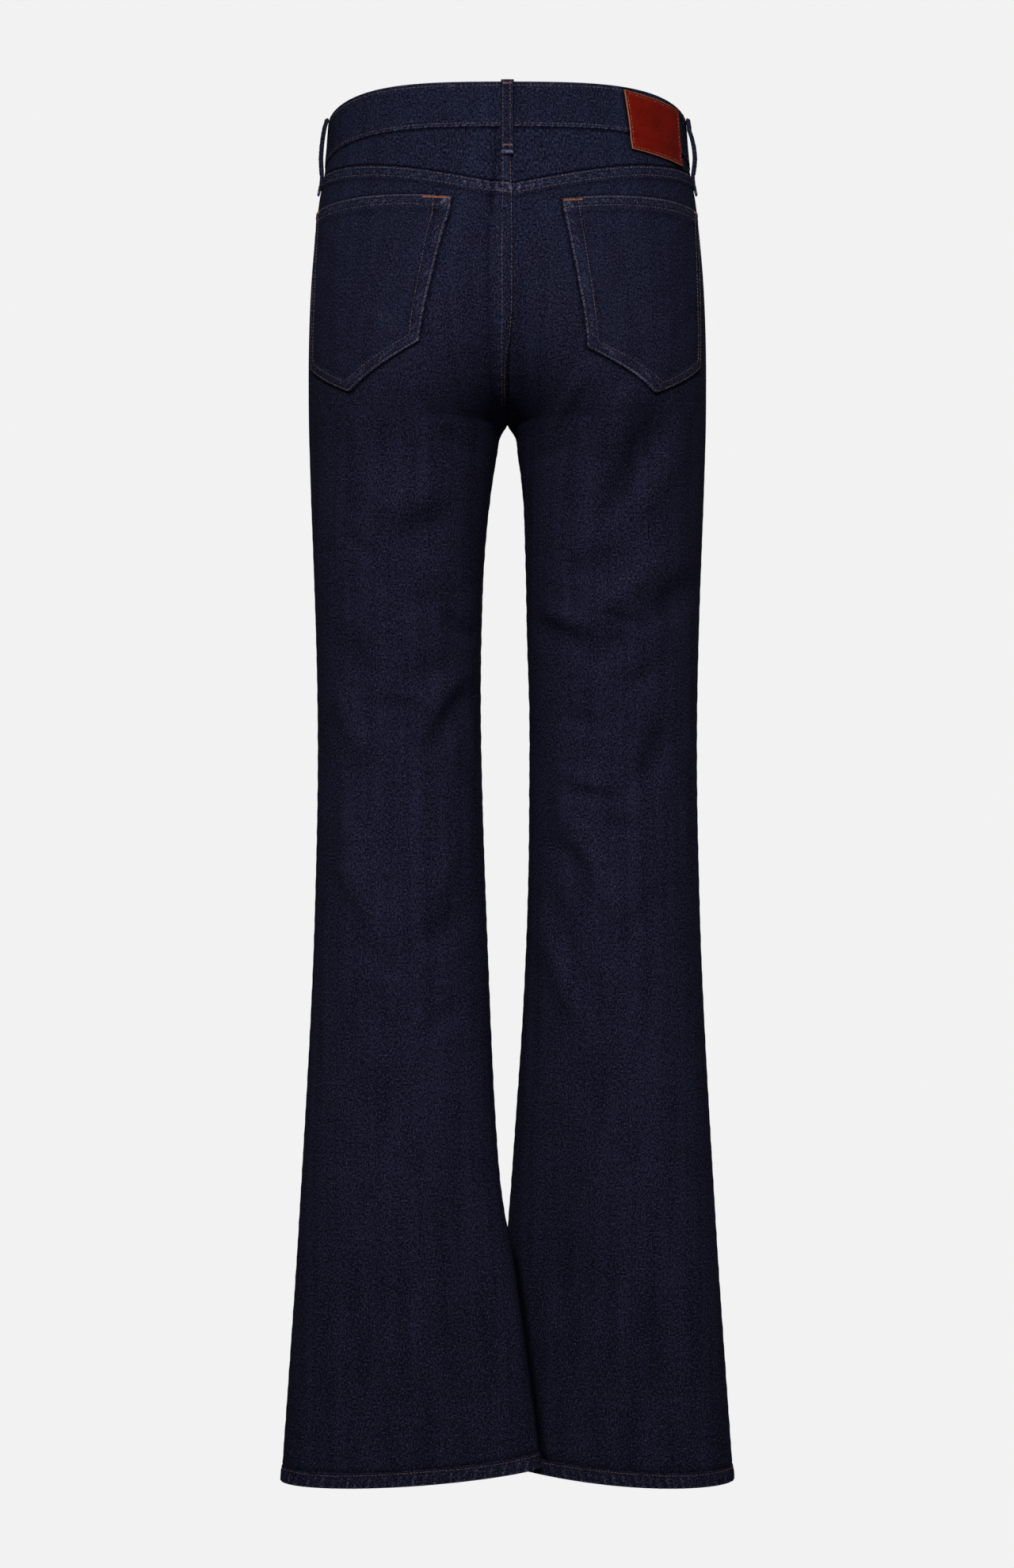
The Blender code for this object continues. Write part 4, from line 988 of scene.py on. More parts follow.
sew("seat_and_yoke_topstitch", rows, back_skin)

FLY_WIDTH, FLY_STRAIGHT_TO, FLY_END, FLY_ROWS = 38.0, -112.0, -158.0, (0.0, 6.5)
FLY_BEND = np.radians(np.linspace(0.0, 88.0, 24))
SCOOP_ROWS, SCOOP_ROWS_FROM = (1.7, 8.0), 0.50
rows = []
for number, inwards in enumerate(FLY_ROWS):
    out, depth = FLY_WIDTH - inwards, FLY_STRAIGHT_TO - FLY_END - inwards
    line = [(out, waist_seam(-90.0) - 1.0)] + [
        (out * math.cos(angle), FLY_STRAIGHT_TO - depth * math.sin(angle)) for angle in FLY_BEND]
    rows.append(run_of_stitches(*line_on(LEFT, FRONT, line), SEAM_PITCH, seed=20 + number))
for half in (LEFT, RIGHT):
    for number, offset in enumerate(SCOOP_ROWS):
        share = np.linspace(SCOOP_ROWS_FROM, ROWS_STOP_AT, 220)
        edge = front_top(share)
        slope = np.gradient(edge, share * FRONT_WAIST_ARC)
        lean = np.sqrt(1 + slope ** 2)
        reach = share * FRONT_WAIST_ARC - offset * np.abs(slope) / lean
        height = edge - offset / lean
        turn = turn_at(half, FRONT, reach, height)
        keep = reach < ROWS_STOP_AT * FRONT_WAIST_ARC
        ground, normals = (part[keep] for part in cloth_at(half, turn, height))
        rows.append(run_of_stitches(ground, normals, SEAM_PITCH, seed=30 + 2 * number + half))
sew("fly_and_front_pocket_topstitch", rows, front_skin)


# ---- Back pockets ------------------------------------------------------------------------
# Five-sided patch pockets with turned edges and a folded mouth, sewn down with two rows that
# draw together towards the point. Short bartacks hold both corners of the mouth.

POCKET_THICKNESS, LAID_GAP = 1.4, 0.5
WAISTBAND_PROUD, WAISTBAND_RAMP = 0.8, 4.0

# Each pocket's corners as seen from behind, out from the middle and up from the frame's origin,
# how far its mouth rises between its corners, where its inner row runs, how long the bartack at
# its inner corner is, and the middle of its rubbed place
POCKETS = {
    "back_pocket_left": {
        "half": LEFT, "top_inner": (43.0, -60.5), "top_outer": (193.0, -60.5), "top_rise": 4.5,
        "bottom_inner": (71.0, -175.0), "tip": (143.0, -212.0), "bottom_outer": (200.0, -189.0),
        "rows_at_mouth": 14.5, "rows_below": 7.6, "tack": 22.0, "wear_and_shade_marks": (98.0, -158.0),
    },
    "back_pocket_right": {
        "half": RIGHT, "top_inner": (42.0, -62.5), "top_outer": (190.0, -61.0), "top_rise": 5.0,
        "bottom_inner": (65.0, -180.0), "tip": (139.0, -213.0), "bottom_outer": (190.0, -188.5),
        "rows_at_mouth": 13.0, "rows_below": 7.8, "tack": 15.0, "wear_and_shade_marks": (130.0, -162.0),
    },
}

EDGE_ROW, MOUTH_ROWS, OUTER_SIDE_WIDENS = 1.7, (1.8, 8.3), 1.5
POCKET_PITCH, POCKET_EDGE_PITCH = 3.2, 2.7
POCKET_COLUMNS, POCKET_ROWS, POCKET_EDGE_RADIUS = 96, 96, 1.4
EDGE_DOUBLED, MOUTH_DOUBLED, DOUBLED_LIFT = (8.5, 11.0), (11.0, 13.5), 0.45
POCKET_GROOVE, POCKET_GROOVE_WIDTH, ROWS_MIDDLE, ROWS_REACH = 0.34, 0.8, 5.0, 3.5
POCKET_PADDING, POCKET_PUCKER, POCKET_PUCKER_PITCH = 0.10, 0.20, 6.0
POCKET_SWELL, POCKET_SWELL_PITCH, KNOT_PITCH = 0.30, 31.0, 4.6
POCKET_EDGE_WEAR, MOUTH_EDGE_WEAR, ROWS_WEAR, ROWS_WEAR_WAVES = 0.80, 0.60, 0.25, 0.14
POCKET_SHADE, POCKET_MOTTLE, RUBBED, RUBBED_REACH = 0.30, 0.07, 0.16, 36.0
OUTER_TACK, TACK_SLOPE, POCKET_TACK_WIDTH = 10.0, 0.085, 1.9


def band_proud(turn, height):
    """How far the waistband's face stands off the cloth at a height."""
    seam = waist_seam(turn)
    return WAISTBAND_PROUD * ease(height, seam - WAISTBAND_RAMP, seam)


def distance_from(line, reach, height):
    """The distance of flat points from the nearest part of a line."""
    nearest = np.full(np.shape(reach), 1e9)
    for (first_x, first_z), (last_x, last_z) in zip(line, line[1:]):
        run_x, run_z = last_x - first_x, last_z - first_z
        along = ((reach - first_x) * run_x + (height - first_z) * run_z) / (run_x**2 + run_z**2)
        along = np.clip(along, 0.0, 1.0)
        nearest = np.minimum(nearest, np.hypot(
            reach - first_x - along * run_x, height - first_z - along * run_z))
    return nearest


def inset_line(corners, insets):
    """A line inside some corners: how far it keeps from each side at that side's two ends."""
    sides = []
    for (start, end), (near, far) in zip(zip(corners, corners[1:]), insets):
        start, end = np.array(start), np.array(end)
        run = (end - start) / np.linalg.norm(end - start)
        inwards = np.array((-run[1], run[0]))
        sides.append((start + inwards * near, end + inwards * far))
    points = [sides[0][0]]
    for (first, second), (third, fourth) in zip(sides, sides[1:]):
        one, two = second - first, fourth - third
        gap = third - first
        along = (gap[0] * two[1] - gap[1] * two[0]) / (one[0] * two[1] - one[1] * two[0])
        points.append(first + one * along)
    return [tuple(point) for point in points + [sides[-1][1]]]


def pocket_mouth(sizes, across):
    """Where the folded mouth is, from 0 at its inner corner to 1 at its outer corner."""
    reach, height = (sizes["top_inner"][axis] + (
        sizes["top_outer"][axis] - sizes["top_inner"][axis]) * across for axis in (0, 1))
    return reach, height + sizes["top_rise"] * 4 * across * (1 - across)


def pocket_lines(sizes):
    """The pocket's sewn edge, its two rows round that edge and its two rows along the mouth."""
    edge = [sizes[key] for key in (
        "top_inner", "bottom_inner", "tip", "bottom_outer", "top_outer")]
    below, mouth = sizes["rows_below"], sizes["rows_at_mouth"]
    outer_row = inset_line(edge, [(EDGE_ROW, EDGE_ROW)] * 4)
    inner_row = inset_line(edge, [(mouth, below), (below, below), (below, below),
                                  (below, below + OUTER_SIDE_WIDENS)])
    reach, height = pocket_mouth(sizes, np.linspace(0.0, 1.0, 25))
    reach[0], reach[-1] = reach[0] + EDGE_ROW, reach[-1] - EDGE_ROW
    mouth_rows = [list(zip(reach, height - drop)) for drop in MOUTH_ROWS]
    return edge, outer_row, inner_row, mouth_rows


def back_pocket(name, sizes):
    """A pocket's cloth, laid on the seat."""
    half = sizes["half"]
    tip_at = round(POCKET_COLUMNS * (sizes["tip"][0] - sizes["bottom_inner"][0]) / (
        sizes["bottom_outer"][0] - sizes["bottom_inner"][0])) / POCKET_COLUMNS
    edge, outer_row, inner_row, mouth_rows = pocket_lines(sizes)

    def place(across, down):
        corners = (sizes["bottom_inner"], sizes["tip"], sizes["bottom_outer"])
        top_reach, top_height = pocket_mouth(sizes, across)
        low_reach, low_height = (
            np.interp(across, (0.0, tip_at, 1.0), [corner[axis] for corner in corners])
            for axis in (0, 1))
        reach = top_reach + (low_reach - top_reach) * down
        height = top_height + (low_height - top_height) * down
        turn = turn_at(half, BACK, reach, height)
        from_edge = distance_from(edge, reach, height)
        from_mouth = top_height - height
        doubled = np.maximum(fade(from_edge, *EDGE_DOUBLED), fade(from_mouth, *MOUTH_DOUBLED))
        rows = sum(hump(distance_from(line, reach, height), 0.0, POCKET_GROOVE_WIDTH)
                   for line in (outer_row, inner_row, *mouth_rows))
        waves = ripple(height + 0.8 * reach, POCKET_PUCKER_PITCH, 2.0 * half)
        swell = ripple(height - 0.6 * reach, POCKET_SWELL_PITCH, 0.7 + half)
        knots = ripple(height + 0.5 * reach, KNOT_PITCH, 1.3 * half)
        between, mouth = (hump(distance, ROWS_MIDDLE, ROWS_REACH)
                          for distance in (from_edge, from_mouth))
        lift = LAID_GAP + POCKET_THICKNESS + DOUBLED_LIFT * doubled - POCKET_GROOVE * rows
        lift = lift + (between + 0.7 * mouth) * (POCKET_PADDING + POCKET_PUCKER * waves)
        lift = lift + POCKET_SWELL * swell * (1 - doubled) - turned_in(
            np.minimum(from_edge, from_mouth), POCKET_EDGE_RADIUS, POCKET_THICKNESS)
        wear_and_shade = POCKET_EDGE_WEAR * hump(from_edge, 0.9, 0.9) * (0.6 + 0.4 * knots)
        wear_and_shade = np.maximum(wear_and_shade, MOUTH_EDGE_WEAR * hump(from_mouth, 0.7, 0.8))
        wear_and_shade = np.maximum(wear_and_shade, (between + mouth) * (ROWS_WEAR + ROWS_WEAR_WAVES * waves))
        # Painted shade where the doubled edge and the mouth's fold end
        wear_and_shade = wear_and_shade - POCKET_SHADE * sum(
            hump(distance, gone_by, 2.0) for distance, gone_by in (
                (from_edge, SHADE_AT), (from_mouth, MOUTH_DOUBLED[1])))
        rubbed_x, rubbed_z = sizes["wear_and_shade_marks"]
        wear_and_shade = wear_and_shade + POCKET_MOTTLE * swell + RUBBED * (1 - doubled) * (
            hump(reach, rubbed_x, RUBBED_REACH) * hump(height, rubbed_z, RUBBED_REACH))
        ground, normals = cloth_at(half, turn, height)
        proud = band_proud(turn, height)
        return moved_out(ground, normals, lift + proud), (
            moved_out(ground, normals, LAID_GAP + proud)), wear_and_shade

    return cloth(name, graded(POCKET_COLUMNS, 0.75), graded(POCKET_ROWS, 0.75), place)


pockets = {}
for name, sizes in POCKETS.items():
    half = sizes["half"]
    pockets[half] = dress(f"{name}_cloth", back_pocket(name, sizes), denim, "denim", name)
    edge, outer_row, inner_row, mouth_rows = pocket_lines(sizes)
    pocket_skin = skin(pockets[half], panels[half, BACK])
    rows = [run_of_stitches(*line_on(half, BACK, line), pitch, seed=40 + number + half)
            for number, (line, pitch) in enumerate((
                (outer_row, POCKET_EDGE_PITCH), (inner_row, POCKET_EDGE_PITCH),
                (mouth_rows[0], POCKET_PITCH), (mouth_rows[1], POCKET_PITCH)))]
    sew(f"{name}_topstitch", rows, pocket_skin, seed=half + 3)
    tacks = []
    for corner, inward, length in (
            (mouth_rows[0][0], 1.0, sizes["tack"]), (mouth_rows[0][-1], -1.0, OUTER_TACK)):
        ends = [corner, (corner[0] + inward * length, corner[1] + TACK_SLOPE * length)]
        ground, normals = line_on(half, BACK, ends, samples=12)
        tacks.append(bartack(ground.mean(axis=0), ground[-1] - ground[0], normals[6], length,
                             POCKET_TACK_WIDTH))
    sew(f"{name}_bartacks", tacks, pocket_skin, tint=1.0, width=0.5, seed=half + 7)
    # Painted shade on the back panel round the pocket
    paint_shade_beside([pockets[half]], [panels[half, BACK]])


# ---- Front pocket facings ----------------------------------------------------------------
# Denim behind the curved front openings. Its upper edge is caught in the waistband and its
# side in the outseam, and the rest hangs free behind the front panel.

FACING_WIDTH, FACING_DEPTH, FACING_PAST_OUTSEAM = 114.0, 92.0, 4.0
UNDER_GAP, CAUGHT_GAP, FREE_BELOW, CAUGHT_FROM = 0.9, 0.05, 14.0, 0.93
FACING_SQUARES = 32


def facing(name, half):
    """The facing of one front pocket."""
    first = 1 - FACING_WIDTH / FRONT_WAIST_ARC

    def place(across, down):
        share = first + (1 + FACING_PAST_OUTSEAM / FRONT_WAIST_ARC - first) * across
        top = waist_seam(-90.0 - (90.0 - SEAM_TURN) * share) + WAIST_SEAM_ALLOWANCE
        height = top - FACING_DEPTH * down
        turn = turn_across(half, FRONT, height, share)
        hangs_free = fade(share, CAUGHT_FROM, 1.0) * (
            ease(top - height, WAIST_SEAM_ALLOWANCE, FREE_BELOW))
        lift = -DENIM_THICKNESS - CAUGHT_GAP - UNDER_GAP * hangs_free
        wear_and_shade = 0.10 + 0.10 * ripple(height + turn, 40.0, 1.0)
        ground, normals = cloth_at(half, turn, height)
        return moved_out(ground, normals, lift), (
            moved_out(ground, normals, lift - DENIM_THICKNESS)), wear_and_shade

    even = np.linspace(0.0, 1.0, FACING_SQUARES + 1)
    return cloth(name, even, even, place)


for half, word in ((LEFT, "left"), (RIGHT, "right")):
    name = f"front_pocket_facing_{word}"
    piece = dress(f"{name}_cloth", facing(name, half), denim, "denim_facing", name)


# ---- Waistband ---------------------------------------------------------------------------
# A curved band of folded denim, stitched along both edges. It holds the tops of the panels and
# yokes, and its left end laps over its right end at the centre front.

WAISTBAND_THICKNESS, BAND_ROLL = 2.8, 1.4
WAISTBAND_COLUMNS, WAISTBAND_ROWS = 560, 30

# Degrees round the waist from the centre back: the band's two ends, and where one rises to lap
LAP_OVER_TURN, LAP_UNDER_TURN = 5.9, 9.9
BAND_FIRST, BAND_LAST = -(180.0 + LAP_UNDER_TURN), 180.0 + LAP_OVER_TURN
LAP_RISE_FROM, LAP_RISE_TO = 146.0, 165.0
BAND_ARC_A_DEGREE, END_ARC_A_DEGREE = 2.1, 1.9

BAND_ROW_ABOVE, BAND_ROW_BELOW, BAND_ROWS_SHORT, END_ROW = 3.2, 2.9, 1.5, 1.6
BAND_GROOVE, BAND_GROOVE_WIDTH, BAND_PUCKER, BAND_PUCKER_PITCH = 0.34, 0.8, 0.16, 8.0
BAND_CROWN, BAND_SWELL, BAND_SWELL_PITCH = 0.20, 0.30, 63.0
BAND_DRAG, BAND_DRAG_PITCH, BAND_DRAG_DOWN = 0.18, 17.0, (0.35, 0.8)
LOWER_EDGE_WEAR, UPPER_EDGE_WEAR, BAND_MOTTLE, BAND_KNOT_PITCH = 0.78, 0.45, 0.24, 4.8
SIDE_SHADE, SIDE_SHADE_TURN, SIDE_SHADE_REACH = 0.50, 180.0, 30.0


def round_the_waist(round_waist, drop):
    """The cloth's points and normals a drop below the band's upper edge."""
    turn = 90.0 + np.abs(round_waist)
    sides = [cloth_at(half, turn, waist_top(turn) - drop) for half in (LEFT, RIGHT)]
    return [np.where((round_waist >= 0)[..., None], left, right) for left, right in zip(*sides)]


def waistband_place(across, down):
    """Points of the waistband, from its under lap round the back to its over lap."""
    round_waist = BAND_FIRST + (BAND_LAST - BAND_FIRST) * across
    ground, normals = round_the_waist(round_waist, WAISTBAND_WIDTH * down)
    over = WAISTBAND_PROUD + (WAISTBAND_THICKNESS + LAID_GAP) * (
        ease(round_waist, LAP_RISE_FROM, LAP_RISE_TO))
    from_top, from_bottom = WAISTBAND_WIDTH * down, WAISTBAND_WIDTH * (1 - down)
    along = round_waist * BAND_ARC_A_DEGREE
    from_end = np.minimum(
        (round_waist - BAND_FIRST) * END_ARC_A_DEGREE, (BAND_LAST - round_waist) * END_ARC_A_DEGREE)
    rows = hump(from_top, BAND_ROW_ABOVE, BAND_GROOVE_WIDTH) + (
        hump(from_bottom, BAND_ROW_BELOW, BAND_GROOVE_WIDTH))
    waves = ripple(along, BAND_PUCKER_PITCH, 0.4)
    near_rows = hump(from_top, 3.0, 3.0) + hump(from_bottom, 3.0, 3.5)
    crown = np.sin(np.pi * down)
    relief = BAND_PUCKER * waves * near_rows - BAND_GROOVE * rows + BAND_CROWN * crown
    relief = relief + BAND_SWELL * ripple(along, BAND_SWELL_PITCH, 1.1) * crown
    relief = relief + BAND_DRAG * ripple(along + 0.6 * from_top, BAND_DRAG_PITCH, 2.2) * (
        ease(down, *BAND_DRAG_DOWN))
    rolled = sum(turned_in(edge, BAND_ROLL, WAISTBAND_THICKNESS / 2)
                 for edge in (from_top, from_bottom, from_end))
    outer = over + relief - np.minimum(rolled, WAISTBAND_THICKNESS / 2)
    inner = over - WAISTBAND_THICKNESS + np.minimum(rolled, WAISTBAND_THICKNESS / 2)
    knots = ripple(along + 0.5 * from_bottom, BAND_KNOT_PITCH, 2.6)
    wear_and_shade = LOWER_EDGE_WEAR * hump(from_bottom, 0.9, 0.75) * (0.62 + 0.38 * knots)
    wear_and_shade = np.maximum(wear_and_shade, UPPER_EDGE_WEAR * hump(from_top, 0.5, 0.8))
    mottled = ripple(along + 0.5 * from_top, 21.0, 3.0) * ripple(from_top + 0.2 * along, 15.0, 1.0)
    wear_and_shade = np.maximum(wear_and_shade, 0.14 * near_rows * (1 + waves) + BAND_MOTTLE * mottled)
    # Painted shade towards the band's ends at the sides, beside the side loops
    wear_and_shade = wear_and_shade - SIDE_SHADE * hump(90.0 + np.abs(round_waist), SIDE_SHADE_TURN, SIDE_SHADE_REACH)
    return moved_out(ground, normals, outer), moved_out(ground, normals, inner), wear_and_shade


mesh = cloth("waistband", np.linspace(0.0, 1.0, WAISTBAND_COLUMNS + 1),
             graded(WAISTBAND_ROWS, 0.8), waistband_place, folded=True)
waistband = dress("folded_waistband", mesh, denim, "denim", "waistband")
band_skin = skin(waistband)
round_waist = np.linspace(BAND_FIRST + BAND_ROWS_SHORT, BAND_LAST - BAND_ROWS_SHORT, 500)
rows = [run_of_stitches(*round_the_waist(round_waist, drop), SEAM_PITCH, seed=60 + number)
        for number, drop in enumerate((BAND_ROW_ABOVE, WAISTBAND_WIDTH - BAND_ROW_BELOW))]
turn = 90.0 + BAND_LAST - END_ROW
height = np.linspace(waist_top(turn) - BAND_ROW_ABOVE, waist_seam(turn) + BAND_ROW_BELOW, 40)
rows.append(run_of_stitches(*cloth_at(LEFT, turn + 0 * height, height), SEAM_PITCH, seed=62))
sew("waistband_topstitch", rows, band_skin, seed=8)
# Painted shade on the yokes and front panels beside the waistband
paint_shade_beside([waistband], [yokes[LEFT], yokes[RIGHT], panels[LEFT, FRONT], panels[RIGHT, FRONT]])


# ---- Leather patch -----------------------------------------------------------------------
# A plain piece of red-brown leather with raw tan edges, sewn over the waistband and the yoke
# on the right of the back. It is left bare.

PATCH_THICKNESS = 1.6
PATCH_CORNERS = {
    "top_inner": (94.5, 29.3), "top_outer": (153.5, 19.7),
    "bottom_inner": (102.5, -17.9), "bottom_outer": (160.8, -25.8),
}
PATCH_WIDTH, PATCH_DEPTH, PATCH_ROW, PATCH_PITCH = 59.0, 47.5, 2.2, 3.0
PATCH_GROOVE, PATCH_BUCKLE, PATCH_CORNER_LIFTS = 0.30, 0.22, 0.5
LEATHER = (0.058, 0.0022, 0.0012, 1.0), (0.175, 0.0075, 0.0035, 1.0)
RAW_EDGE = (0.30, 0.13, 0.07, 1.0)


def leather_finish(name):
    """Waxed leather: fine pores and wrinkles, darker clouds, and a raw edge of pale tan."""
    made, dye, shader = new_finish(name, roughness=0.6, gloss=0.04)
    place = dye.place()
    raw = dye.attribute("wear_and_painted_shade")
    pores = dye.node("ShaderNodeTexVoronoi", {"feature": "DISTANCE_TO_EDGE"}, {
        "Vector": place, "Scale": 900.0})
    cloud = place.noise(60.0, 60.0, detail=4.0)
    speck = place.noise(700.0, 700.0, detail=2.0)
    tone = (0.62 + cloud * 0.45 + speck * 0.30).between(0.0, 1.10)
    colour = tone.colours(*LEATHER)
    colour = (raw * (0.85 + speck * 0.5)).between(0.2, 0.9).colours(colour, RAW_EDGE)
    colour.feed(shader, "Base Color")
    rough = 0.52 + cloud * 0.12
    rough.feed(shader, "Roughness")
    raised(dye, shader, pores * 1.5 + speck * 0.3, millimetres=0.12, strength=0.8)
    return made


def patch_place(across, down):
    """Points of the patch, bent over the waistband's lower edge."""
    corners = PATCH_CORNERS
    reach, height = (
        (corners["top_inner"][axis] * (1 - across) + corners["top_outer"][axis] * across)
        * (1 - down) + down * (
            corners["bottom_inner"][axis] * (1 - across) + corners["bottom_outer"][axis] * across)
        for axis in (0, 1))
    turn = turn_at(RIGHT, BACK, reach, height)
    ground, normals = cloth_at(RIGHT, turn, height)
    from_edge = np.minimum(np.minimum(across, 1 - across) * PATCH_WIDTH,
                           np.minimum(down, 1 - down) * PATCH_DEPTH)
    base = band_proud(turn, height) + LAID_GAP
    lift = base + PATCH_THICKNESS - turned_in(from_edge, 0.55, 0.5)
    lift = lift - PATCH_GROOVE * hump(from_edge, PATCH_ROW, 0.7)
    lift = lift + PATCH_BUCKLE * np.sin(reach * 0.13 + 1.0) * np.sin(height * 0.16)
    lift = lift + PATCH_CORNER_LIFTS * ease(across, 0.90, 1.0) * ease(down, 0.5, 1.0)
    return moved_out(ground, normals, lift), moved_out(ground, normals, base), (
        fade(from_edge, 0.35, 0.9))


mesh = cloth("leather_patch", graded(72, 0.7), graded(60, 0.7), patch_place)
leather = leather_finish("patch_leather")
patch = dress("red_brown_patch", mesh, leather, "patch_leather", "leather_patch")
# Painted shade on the waistband and the yoke round the patch
paint_shade_beside([patch], [waistband, yokes[RIGHT]])
patch_edge = [PATCH_CORNERS[key] for key in (
    "top_inner", "bottom_inner", "bottom_outer", "top_outer", "top_inner", "bottom_inner")]
patch_row = inset_line(patch_edge, [(PATCH_ROW, PATCH_ROW)] * 5)[1:]
row = run_of_stitches(*line_on(RIGHT, BACK, patch_row[:5]), PATCH_PITCH, seed=70)
sew("patch_topstitch", [row], skin(patch), tint=0.50, seed=9)


# ---- Belt loops --------------------------------------------------------------------------
# Folded strips with two rows of stitches. Each is bartacked at the top of the waistband and
# below it, bows off the band between, and ends in a small fold that has worn pale.

LOOP_WIDTH, LOOP_THICKNESS, LOOP_SEWN_THICKNESS = 10.0, 3.4, 2.2
LOOP_BOW, LOOP_ON_BAND_TO, LOOP_SEWN_FROM = 0.8, 0.5, 0.74
LOOP_PRESSED_FROM, LOOP_PRESSED_TO = 0.69, 0.84
CENTRE_BACK = 90.0

# Each loop's half and turn, its length, how far it tops the band, how far it bows off the band
# and from how far down
LOOP_FIELDS = ("name", "half", "turn", "length", "top", "bulge", "free_from")
LOOPS = (
    ("belt_loop_centre_back", LEFT, CENTRE_BACK, 61.5, 1.0, 1.2, 0.06),
    ("belt_loop_side_left", LEFT, 176.0, 62.0, 1.5, 2.2, 0.05),
    ("belt_loop_side_right", RIGHT, 176.0, 62.0, 1.5, 3.0, 0.16),
    ("belt_loop_front_left", LEFT, -126.0, 60.0, 1.0, 1.6, 0.08),
    ("belt_loop_front_right", RIGHT, -126.0, 60.0, 1.0, 1.6, 0.08),
)
SEAT_SEAM_UNDER_LOOP = 3.0
LOOP_STITCH_ROWS, LOOP_PITCH, LOOP_ROWS_SPAN = (3.4, -2.1), 2.9, (0.02, 0.985)
LOOP_TACKS, LOOP_TACK_SPAN = (0.055, 0.885), (-3.6, 0.0, 3.6)
LOOP_TACK_LENGTH, LOOP_TACK_WIDTH = 7.4, 1.9
LOOP_ROLL, LOOP_GROOVE, LOOP_TACK_SINKS, LOOP_WAVE, LOOP_WAVE_PITCH = 0.55, 0.25, 0.35, 0.10, 5.5


def on_loop(sizes, aside, down):
    """Where a place on a loop is, its way out, and how far its two faces are off the cloth."""
    half = sizes["half"]
    height = waist_top(sizes["turn"]) + sizes["top"] - sizes["length"] * down
    centred = sizes["turn"] == CENTRE_BACK
    middle = centre_turn(height) if centred else sizes["turn"] + 0 * height
    turn = middle + aside / turn_speed(half, middle, height)
    along = (down - sizes["free_from"]) / (LOOP_SEWN_FROM - sizes["free_from"])
    free = np.sin(np.pi * np.clip(along, 0.0, 1.0)) ** LOOP_BOW
    under = LAID_GAP * ease(down, 0.0, 0.12) + sizes["bulge"] * free + WAISTBAND_PROUD * (
        fade(down, LOOP_ON_BAND_TO, LOOP_SEWN_FROM))
    if centred:
        under = under + SEAT_SEAM_UNDER_LOOP * ease(down, LOOP_ON_BAND_TO, LOOP_SEWN_FROM)
    thick = LOOP_THICKNESS + (LOOP_SEWN_THICKNESS - LOOP_THICKNESS) * (
        ease(down, LOOP_PRESSED_FROM, LOOP_PRESSED_TO))
    return *cloth_at(half, turn, height), under, under + thick


def belt_loop(sizes):
    """One loop's folded strip."""
    def place(across, down):
        aside = (across - 0.5) * LOOP_WIDTH
        ground, normals, under, over = on_loop(sizes, aside, down)
        from_side = LOOP_WIDTH / 2 - np.abs(aside)
        from_top, from_bottom = down * sizes["length"], (1 - down) * sizes["length"]
        rows = sum(hump(aside, row, 0.7) for row in LOOP_STITCH_ROWS)
        tacks = sum(hump(from_top, tack * sizes["length"], 1.3) for tack in LOOP_TACKS)
        waves = ripple(from_top, LOOP_WAVE_PITCH, sizes["turn"])
        roll = (over - under) * LOOP_ROLL
        rolled = turned_in(from_side, 1.7, roll)
        rolled = np.minimum(
            rolled + turned_in(np.minimum(from_top, from_bottom), 1.5, roll), roll)
        over = over - rolled - LOOP_GROOVE * rows - LOOP_TACK_SINKS * tacks + LOOP_WAVE * waves
        wear_and_shade = 0.40 * hump(LOOP_WIDTH / 2 + aside, 1.5, 0.7) * (0.7 + 0.3 * waves)
        # Painted shade on the loop's side faces
        wear_and_shade = wear_and_shade - 0.8 * fade(from_side, 0.0, 1.0)
        wear_and_shade = np.maximum(wear_and_shade, 0.95 * hump(from_bottom, 1.4, 1.6))
        wear_and_shade = np.maximum(wear_and_shade, 0.55 * hump(from_top, 0.8, 0.9))
        return moved_out(ground, normals, over), (
            moved_out(ground, normals, under + rolled * 0.6)), wear_and_shade

    return cloth(sizes["name"], graded(18, 0.6), graded(84, 0.5), place, folded=True)


loops = []
rows, tacks = [], []
for row in LOOPS:
    sizes = dict(zip(LOOP_FIELDS, row))
    piece = dress(f"{sizes['name']}_strip", belt_loop(sizes), denim, "denim", sizes["name"])
    loops.append(piece)
    for number, aside in enumerate(LOOP_STITCH_ROWS):
        down = np.linspace(*LOOP_ROWS_SPAN, 60)
        ground, normals, under, over = on_loop(sizes, aside + 0 * down, down)
        rows.append(run_of_stitches(
            moved_out(ground, normals, over), normals, LOOP_PITCH, seed=80 + number))
    for tack in LOOP_TACKS:
        aside = np.array(LOOP_TACK_SPAN)
        ground, normals, under, over = on_loop(sizes, aside, tack + 0 * aside)
        ends = moved_out(ground, normals, over)
        tacks.append(bartack(
            ends[1], ends[2] - ends[0], normals[1], LOOP_TACK_LENGTH, LOOP_TACK_WIDTH))
loop_skin = skin(*loops)
# Painted shade on the waistband and the yokes beside the loops
paint_shade_beside(loops, [waistband, yokes[LEFT], yokes[RIGHT]], reach=2.6)
sew("belt_loop_topstitch", rows, loop_skin, seed=11)
sew("belt_loop_bartacks", tacks, loop_skin, tint=0.22, width=0.5, seed=12)


# ---- Hems --------------------------------------------------------------------------------
# The leg ends, turned up twice and sewn with one row of copper thread. The folded cloth has
# twisted as it shrank, so it ropes in slanting ridges that have worn pale.

HEM_THICKNESS, HEM_PROUD = 2.6, 0.6
HEM_COLUMNS, HEM_ROWS = 420, 26
HEM_ROW, HEM_PITCH, HEM_ROW_WANDERS = 10.6, 2.55, 0.35
ROPING, ROPING_PITCH, ROPING_LEAN, HEM_GROOVE, HEM_CROWN = 0.34, 6.4, 0.22, 0.30, 0.25
HEM_WEAR, HEM_WEAR_WAVES, HEM_EDGE_WEAR = 0.18, 0.25, 0.22


